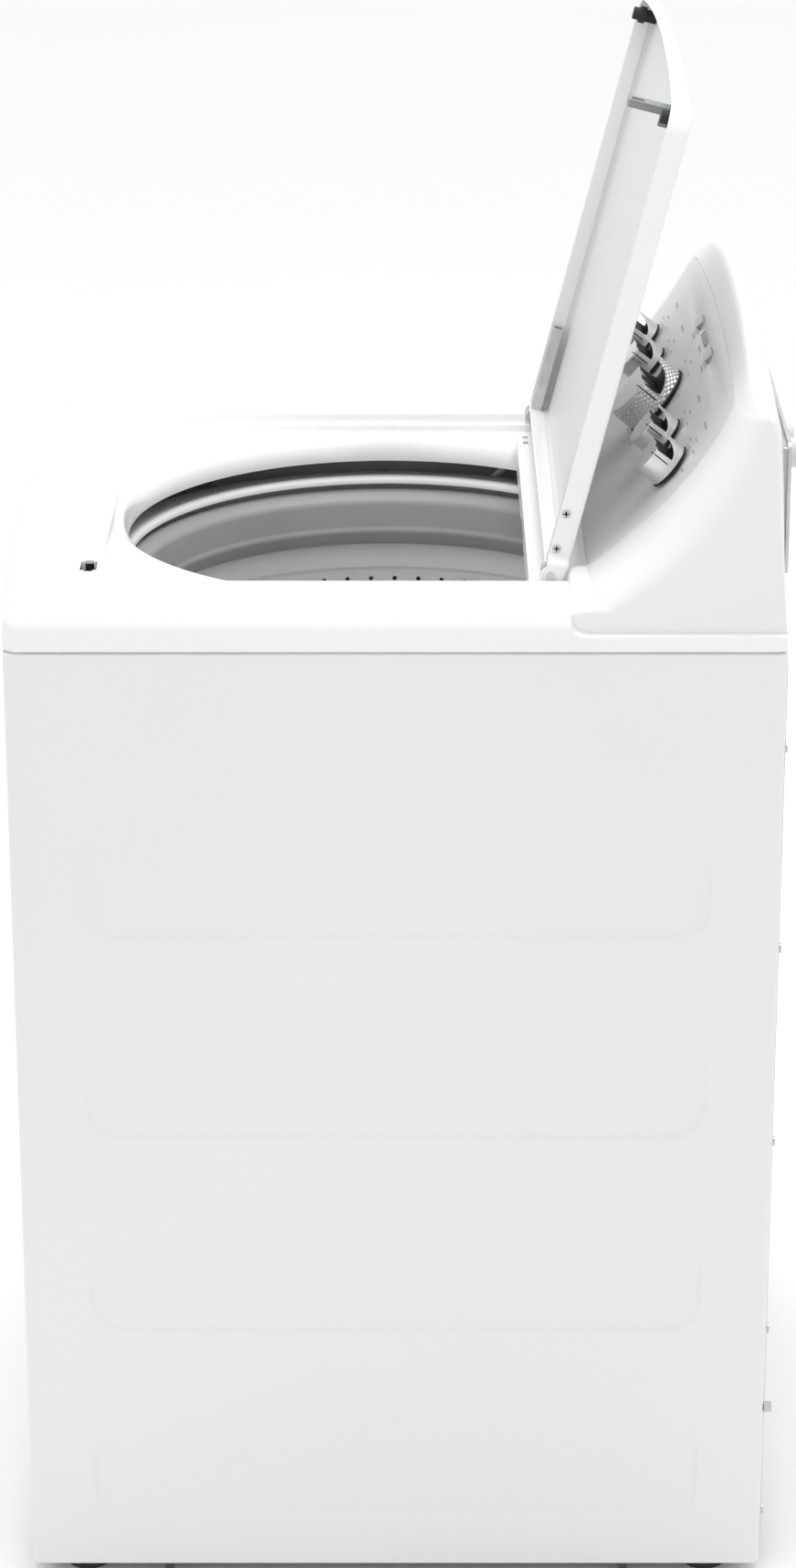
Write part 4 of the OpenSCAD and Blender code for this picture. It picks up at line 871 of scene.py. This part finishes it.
def knob_mark(node, x, r, height):
    """The pointer line, let into the knob's wall and cap."""
    phi, half_w, deep = math.radians(11), 0.5, 0.72
    ca, sa = math.cos(phi), math.sin(phi)
    top, low = KNOB_N + height + 0.12, KNOB_N + height * 0.34
    path = [(r * 0.45, top), (r - 1.3, top), (r + 0.15, top - 1.4), (r + 0.15, low)]
    verts = [(x + (rad - sunk) * ca - side * sa, KNOB_T + (rad - sunk) * sa + side * ca, z - sunk)
             for rad, z in path for side in (-half_w, half_w) for sunk in (0.0, deep)]
    faces = [(0, 1, 3, 2), (12, 14, 15, 13)]
    for k in range(0, 4 * len(path) - 4, 4):
        faces += [(k, k + 2, k + 6, k + 4), (k + 1, k + 5, k + 7, k + 3), (k, k + 4, k + 5, k + 1),
                  (k + 2, k + 3, k + 7, k + 6)]
    piece(node + "_mark", verts, faces, "knob_dark", node + "_body", place=FACE_POSE,
          smooth=False)


for node, kx, kr, kh, grip in (("knob_far_left", -215, 21.0, 24.0, 8.5), ("knob_left", -125, 21.0, 24.0, 8.5),
                               ("cycle_knob", 0, 35.0, 28.0, 11.0), ("knob_right", 125, 21.0, 24.0, 8.5),
                               ("knob_far_right", 215, 21.0, 24.0, 8.5)):
    knob_cap(node, kx, kr, kh, grip, node == "cycle_knob")
    knob_base(node, kx, kr)
    knob_mark(node, kx, kr, kh)


# ---------- tub ring, balance ring, basket and wash plate ----------

revolve("tub_cover_ring",
        [(241, 895), (241.5, 899), (245.5, 902.5), (251, 902), (284, 896), (286, 893), (286, 862),
         (283.5, 862), (283.5, 891), (271, 894), (271, 874), (268.5, 874), (268.5, 894), (252, 897.5),
         (245, 895)],
        [1, 2, 3, 3, 2, 2, .8, .8, 2, 1, .6, .6, 1, 2, 1.5],
        "ring_plastic", "tub", replaced=("tub_ring",))
revolve("balance_ring_skin",
        [(231.5, 880), (245, 889.5), (249.5, 888), (249.5, 836), (230.5, 836), (228, 841),
         (225.5, 849.5), (225.8, 852), (227.4, 855)],
        [4, 3, 1.5, .6, 2, 2, 1, 1, 1.5],
        "balance_plastic", "spin_basket", replaced=("balance_ring",))
revolve("balance_ring_skirt",
        [(245.4, 838), (248.6, 838), (248.6, 809), (247.9, 806.6), (246, 806.6), (245.2, 808.6)],
        [.4, .4, .8, .8, .8, .8],
        "skirt_plastic", "spin_basket")


def perforated_basket():
    """Steel drum with a staggered field of punched holes, a plain band above them and a turned floor."""
    n_around, n_up = 132, 42
    r, low, high, hole = 249.4, 326.0, 800.0, 2.4
    cell_a = 2 * math.pi / n_around
    cell_z = (high - low) / n_up
    verts, faces, index = [], [], {}

    def point(a, z):
        """The number of the wall's point at this angle and height, which is made once."""
        key = (round((a % (2 * math.pi)) / 1e-5), round(z / 1e-3))
        if key not in index:
            index[key] = len(verts)
            verts.append((r * math.cos(a), AXIS_Y + r * math.sin(a), z))
        return index[key]

    for i in range(n_around):
        for j in range(n_up):
            a0, a1 = i * cell_a, ((i + 1) % n_around) * cell_a
            z0, z1 = low + j * cell_z, low + (j + 1) * cell_z
            corners = [point(a0, z0), point(a1, z0), point(a1, z1), point(a0, z1)]
            if (i + j) % 2:
                faces.append(tuple(corners))
                continue
            ac, zc = (i + 0.5) * cell_a, (z0 + z1) / 2
            ring = []
            for k in range(8):
                b = math.pi / 4 * k + math.pi / 8 + math.pi
                b = math.pi / 4 * k + math.pi / 8 + math.pi
                round_to = ac + hole / r * math.cos(b)
                ring.append(len(verts))
                verts.append((r * math.cos(round_to), AXIS_Y + r * math.sin(round_to),
                              zc + hole * math.sin(b)))
            for k in range(4):
                s = 2 * k
                faces.append((corners[k], corners[(k + 1) % 4], ring[(s + 2) % 8], ring[s + 1]))
                faces.append((corners[k], ring[s + 1], ring[s]))
    lines = ([(r, 800.0), (r, 861.0)],
             [(r, 326.0), (r, 314.0), (r - 1.2, 308), (r - 4.5, 302.5), (r - 10, 299.4),
              (r - 18, 298.0), (200, 297.8), (62, 297.8), (58, 296)])
    for line in lines:
        faces += grid_faces(n_around, len(line), wrap_rows=True, start=len(verts))
        for i in range(n_around):
            ca, sa = math.cos(i * cell_a), math.sin(i * cell_a)
            verts += [(rr * ca, AXIS_Y + rr * sa, z) for rr, z in line]
    obj = piece("basket_drum", verts, faces, "basket_steel", "spin_basket", replaced=("basket",))
    solidify(obj, 0.9, 0.0)


perforated_basket()


def wash_plate():
    """The plate with its hub and six vanes, in rings about the tub's axis."""
    n, m, vanes = 288, 64, 6
    a = np.linspace(0, 2 * math.pi, n, endpoint=False)
    base = np.array([(0, 388), (12, 387.6), (24, 385.5), (32, 381), (38, 374), (41, 366), (46, 360),
                     (52, 356), (66, 349), (85, 343), (110, 338), (150, 333), (180, 330.5),
                     (190, 329), (194, 327), (196, 323.5), (196, 320.5), (194.5, 318.6), (190, 318)])
    u = np.linspace(0, len(base) - 1, m)
    rings = []
    for rad, z in zip(*(np.interp(u, np.arange(len(base)), base[:, i]) for i in (0, 1))):
        from_vane = np.abs(((a * vanes / (2 * math.pi) + 0.5) % 1.0) - 0.5) * (2 * math.pi / vanes) * rad
        span = smoothstep((rad - 40) / 18) * (1 - smoothstep((rad - 172) / 16)) * (z >= 326)
        height = 16 + 10 * math.cos(min(1, rad / 180) * math.pi / 2)
        rings.append((rad, z + (1 - smoothstep((from_vane - 3.5) / 9.0)) * span * height))
    obj = piece("wash_plate_skin", polar(rings, np.cos(a), np.sin(a), AXIS_Y),
                grid_faces(m, n, wrap_cols=True), "plate_plastic", "agitation", replaced=("wash_plate",))
    solidify(obj, 2.2)


wash_plate()


# ---------- suspension springs and drain hose ----------

def tubes(name, routes, radii, sides, mat, replaced):
    """Closed tubes along routes of points, with a radius for each point of a route."""
    verts, faces = [], []
    a = np.linspace(0, 2 * math.pi, sides, endpoint=False)
    for route in routes:
        start = len(verts)
        along = np.gradient(route, axis=0)
        along /= np.linalg.norm(along, axis=1)[:, None]
        across = np.cross(along[0], (1, 0, 0) if abs(along[0][0]) < 0.9 else (0, 0, 1))
        for point, direction, radius in zip(route, along, radii):
            across = across - direction * np.dot(across, direction)
            across /= np.linalg.norm(across)
            up = np.cross(direction, across)
            ring = point + radius * (np.cos(a)[:, None] * across + np.sin(a)[:, None] * up)
            verts.extend(map(tuple, ring))
        faces += grid_faces(len(route), sides, wrap_cols=True, start=start)
        faces.append(tuple(start + k for k in range(sides - 1, -1, -1)))
        faces.append(tuple(len(verts) - sides + k for k in range(sides)))
    return piece(name, verts, faces, mat, None, replaced=replaced)


SPRING_LOW, SPRING_HIGH, SPRING_R, WIRE_R, SPRING_TURNS = 298.0, 380.0, 12.5, 2.0, 7
ROD_X, ROD_Y = 290, 280


def springs():
    """Four compression springs with closed ends, standing on the rods' feet under the tub's brackets."""
    turns = np.linspace(0, SPRING_TURNS, SPRING_TURNS * 40 + 1)
    low, high = SPRING_LOW + WIRE_R, SPRING_HIGH - WIRE_R
    closed = 2.2 * WIRE_R
    z = np.interp(turns, [0, 1, SPRING_TURNS - 1, SPRING_TURNS], [low, low + closed, high - closed, high])
    x, y = SPRING_R * np.cos(2 * math.pi * turns), SPRING_R * np.sin(2 * math.pi * turns)
    routes = [np.stack([rod_x + x, AXIS_Y + rod_y + y, z], axis=-1)
              for rod_x in (-ROD_X, ROD_X) for rod_y in (-ROD_Y, ROD_Y)]
    obj = tubes("suspension_coils", routes, np.full(len(turns), WIRE_R), 12, "zinc_steel",
                ("suspension_springs",))
    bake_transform(obj)


springs()

OUTLET_X, HOSE_Y, HOSE_TOP, HOSE_BEND = -180.0, 316.0, 955.5, 345.0
HOSE_ROUTE = [(-150, 168, 186), (-150, 200, 186), (-151, 232, 187), (-154, 262, 192), (-160, 288, 206),
              (-168, 305, 230), (-175, 313, 262), (-179, 316, 300)]
HOSE_ROUTE += [(OUTLET_X, HOSE_Y, z) for z in (HOSE_BEND, 500, 650, 800, HOSE_TOP)]


def drain_hose():
    """The corrugated hose from the pump up to the outlet elbow, with a plain cuff at each end."""
    points = [np.array(p, float) for p in HOSE_ROUTE]
    route = []
    for i, (here, there) in enumerate(zip(points, points[1:])):
        span = np.linalg.norm(there - here)
        m0 = there - points[max(0, i - 1)]
        m1 = points[min(len(points) - 1, i + 2)] - here
        m0, m1 = m0 / np.linalg.norm(m0) * span, m1 / np.linalg.norm(m1) * span
        steps = int(span / 1.5)
        for k in range(steps):
            t = k / steps
            route.append((2 * t ** 3 - 3 * t ** 2 + 1) * here + (t ** 3 - 2 * t ** 2 + t) * m0
                         + (3 * t ** 2 - 2 * t ** 3) * there + (t ** 3 - t ** 2) * m1)
    route = np.array(route + [points[-1]])
    length = np.concatenate([[0], np.cumsum(np.linalg.norm(np.diff(route, axis=0), axis=1))])
    from_end = np.minimum(length, length[-1] - length)
    waves = smoothstep((from_end - 24) / 6)
    radii = 12.8 - waves * (0.8 + 0.8 * np.cos(2 * math.pi * length / 7.5))
    obj = tubes("drain_hose_skin", [route], radii, 28, "hose_rubber", ("drain_hose",))
    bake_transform(obj)


drain_hose()


# ---------- screws ----------

def screw_head(radius, height):
    """A domed head with a cross recess, round +Z, as rings of points."""
    a = np.linspace(0, 2 * math.pi, 48, endpoint=False)
    steps = 14
    rings = [(radius, 0.0)]
    for k in range(steps, -1, -1):
        b = math.pi / 2 * k / steps
        rad = radius * math.sin(b)
        x, y = np.abs(rad * np.cos(a)), np.abs(rad * np.sin(a))
        along_x = (x < radius * 0.62) * (1 - smoothstep((y / radius - 0.1) / 0.08))
        along_y = (y < radius * 0.62) * (1 - smoothstep((x / radius - 0.1) / 0.08))
        recess = np.maximum(along_x, along_y) * height * 0.75 * (1 - 0.5 * rad / radius)
        rings.append((rad, height * (0.35 + 0.65 * math.cos(b)) - recess))
    return polar(rings, np.cos(a), np.sin(a), 0.0)


def screws(name, places, radius, height, body, replaced=()):
    """Screw heads at (centre in mm, outward axis) places."""
    verts, faces = [], []
    head = screw_head(radius, height)
    rows, n = head.shape[:2]
    for center, axis in places:
        turn = Vector((0, 0, 1)).rotation_difference(Vector(axis)).to_matrix()
        start = len(verts)
        verts += [tuple(turn @ Vector(p) + Vector(center)) for p in head.reshape(-1, 3)]
        faces += grid_faces(rows, n, wrap_cols=True, start=start)
        faces.append(tuple(start + k for k in range(n - 1, -1, -1)))
    obj = piece(name, verts, faces, "zinc_steel", body, replaced=replaced)
    # The faces of each cross recess take the near black material: painted shade in the recess.
    obj.data.materials.append(MATS["knob_dark"])
    for face in obj.data.polygons:
        spot = face.center / MM
        center, axis = min(places, key=lambda place: (Vector(place[0]) - spot).length)
        local = Vector(axis).rotation_difference(Vector((0, 0, 1))).to_matrix() @ (spot - Vector(center))
        long, short = max(abs(local.x), abs(local.y)), min(abs(local.x), abs(local.y))
        if long < radius * 0.62 and short < radius * 0.15 and local.z > 0:
            face.material_index = 1


lid_places = []
for side in (-1, 1):
    for along in (24.0, 56.6):
        spot = LID_POSE @ Vector((side * LID_HALF * MM, (HINGE_Y - along) * MM, (RIM_Z + 5.8) * MM))
        lid_places.append((tuple(spot / MM), (side, 0, 0)))
screws("lid_screw_heads", lid_places, 4.0, 1.5, "lid", ("lid_screws",))
PANEL_BACK = 341.2
rear_places = [(x, z) for x in (-317, 317) for z in (60, 250, 440, 630, 820)]
rear_places += [(x, z) for x in (-200, 0, 200) for z in (34, 898)]
screws("rear_screw_heads", [((x, PANEL_BACK, z), (0, 1, 0)) for x, z in rear_places], 4.5, 1.7, "machine")


# ---------- the frame's own nodes ----------

SLOT_OF = {s["node"]: s["material_slot"] for s in frame["record"]["subparts"]}
BEVELS = {
    1.5: "outer_tub",
    1.2: "button_left button_right motor_housing",
    1.0: "base_frame bearing_housing motor_stator",
    0.9: "rear_sill",
    0.8: "rear_panel foot_pads lid_lock_housing lid_strike lid_bumpers console_rear_cover basket_hub "
         "rotary_switches pressure_switch inlet_valve tub_brackets tub_seal drive_bracket motor_rotor "
         "pump_housing",
    0.6: "corner_braces lock_bolt fill_nozzle cord_gland motor_pulley drive_shaft",
    0.5: "foot_locknuts hinge_brackets hinge_arms drain_outlet suspension_rods spin_tube panel_screws",
    0.4: "foot_studs hinge_pins face_panel indicator_lenses",
    0.3: "pump_rotor",
    0.2: "control_board",
    0.15: "knob_bezels",
}
BEVEL_OF = {node: width for width, names in BEVELS.items() for node in names.split()}
for node, obj in NODES.items():
    if not obj.material_slots:
        obj.data.materials.append(MATS[SLOT_OF[node]])
    for entry in obj.material_slots:
        entry.material = MATS[SLOT_OF[node]]
    if node in BEVEL_OF:
        obj.modifiers.new("weld", "WELD").merge_threshold = 1e-6
        edge = obj.modifiers.new("bevel", "BEVEL")
        edge.width = BEVEL_OF[node] * MM
        edge.segments = 2
        edge.limit_method = "ANGLE"
        edge.angle_limit = math.radians(30)
        edge.use_clamp_overlap = True
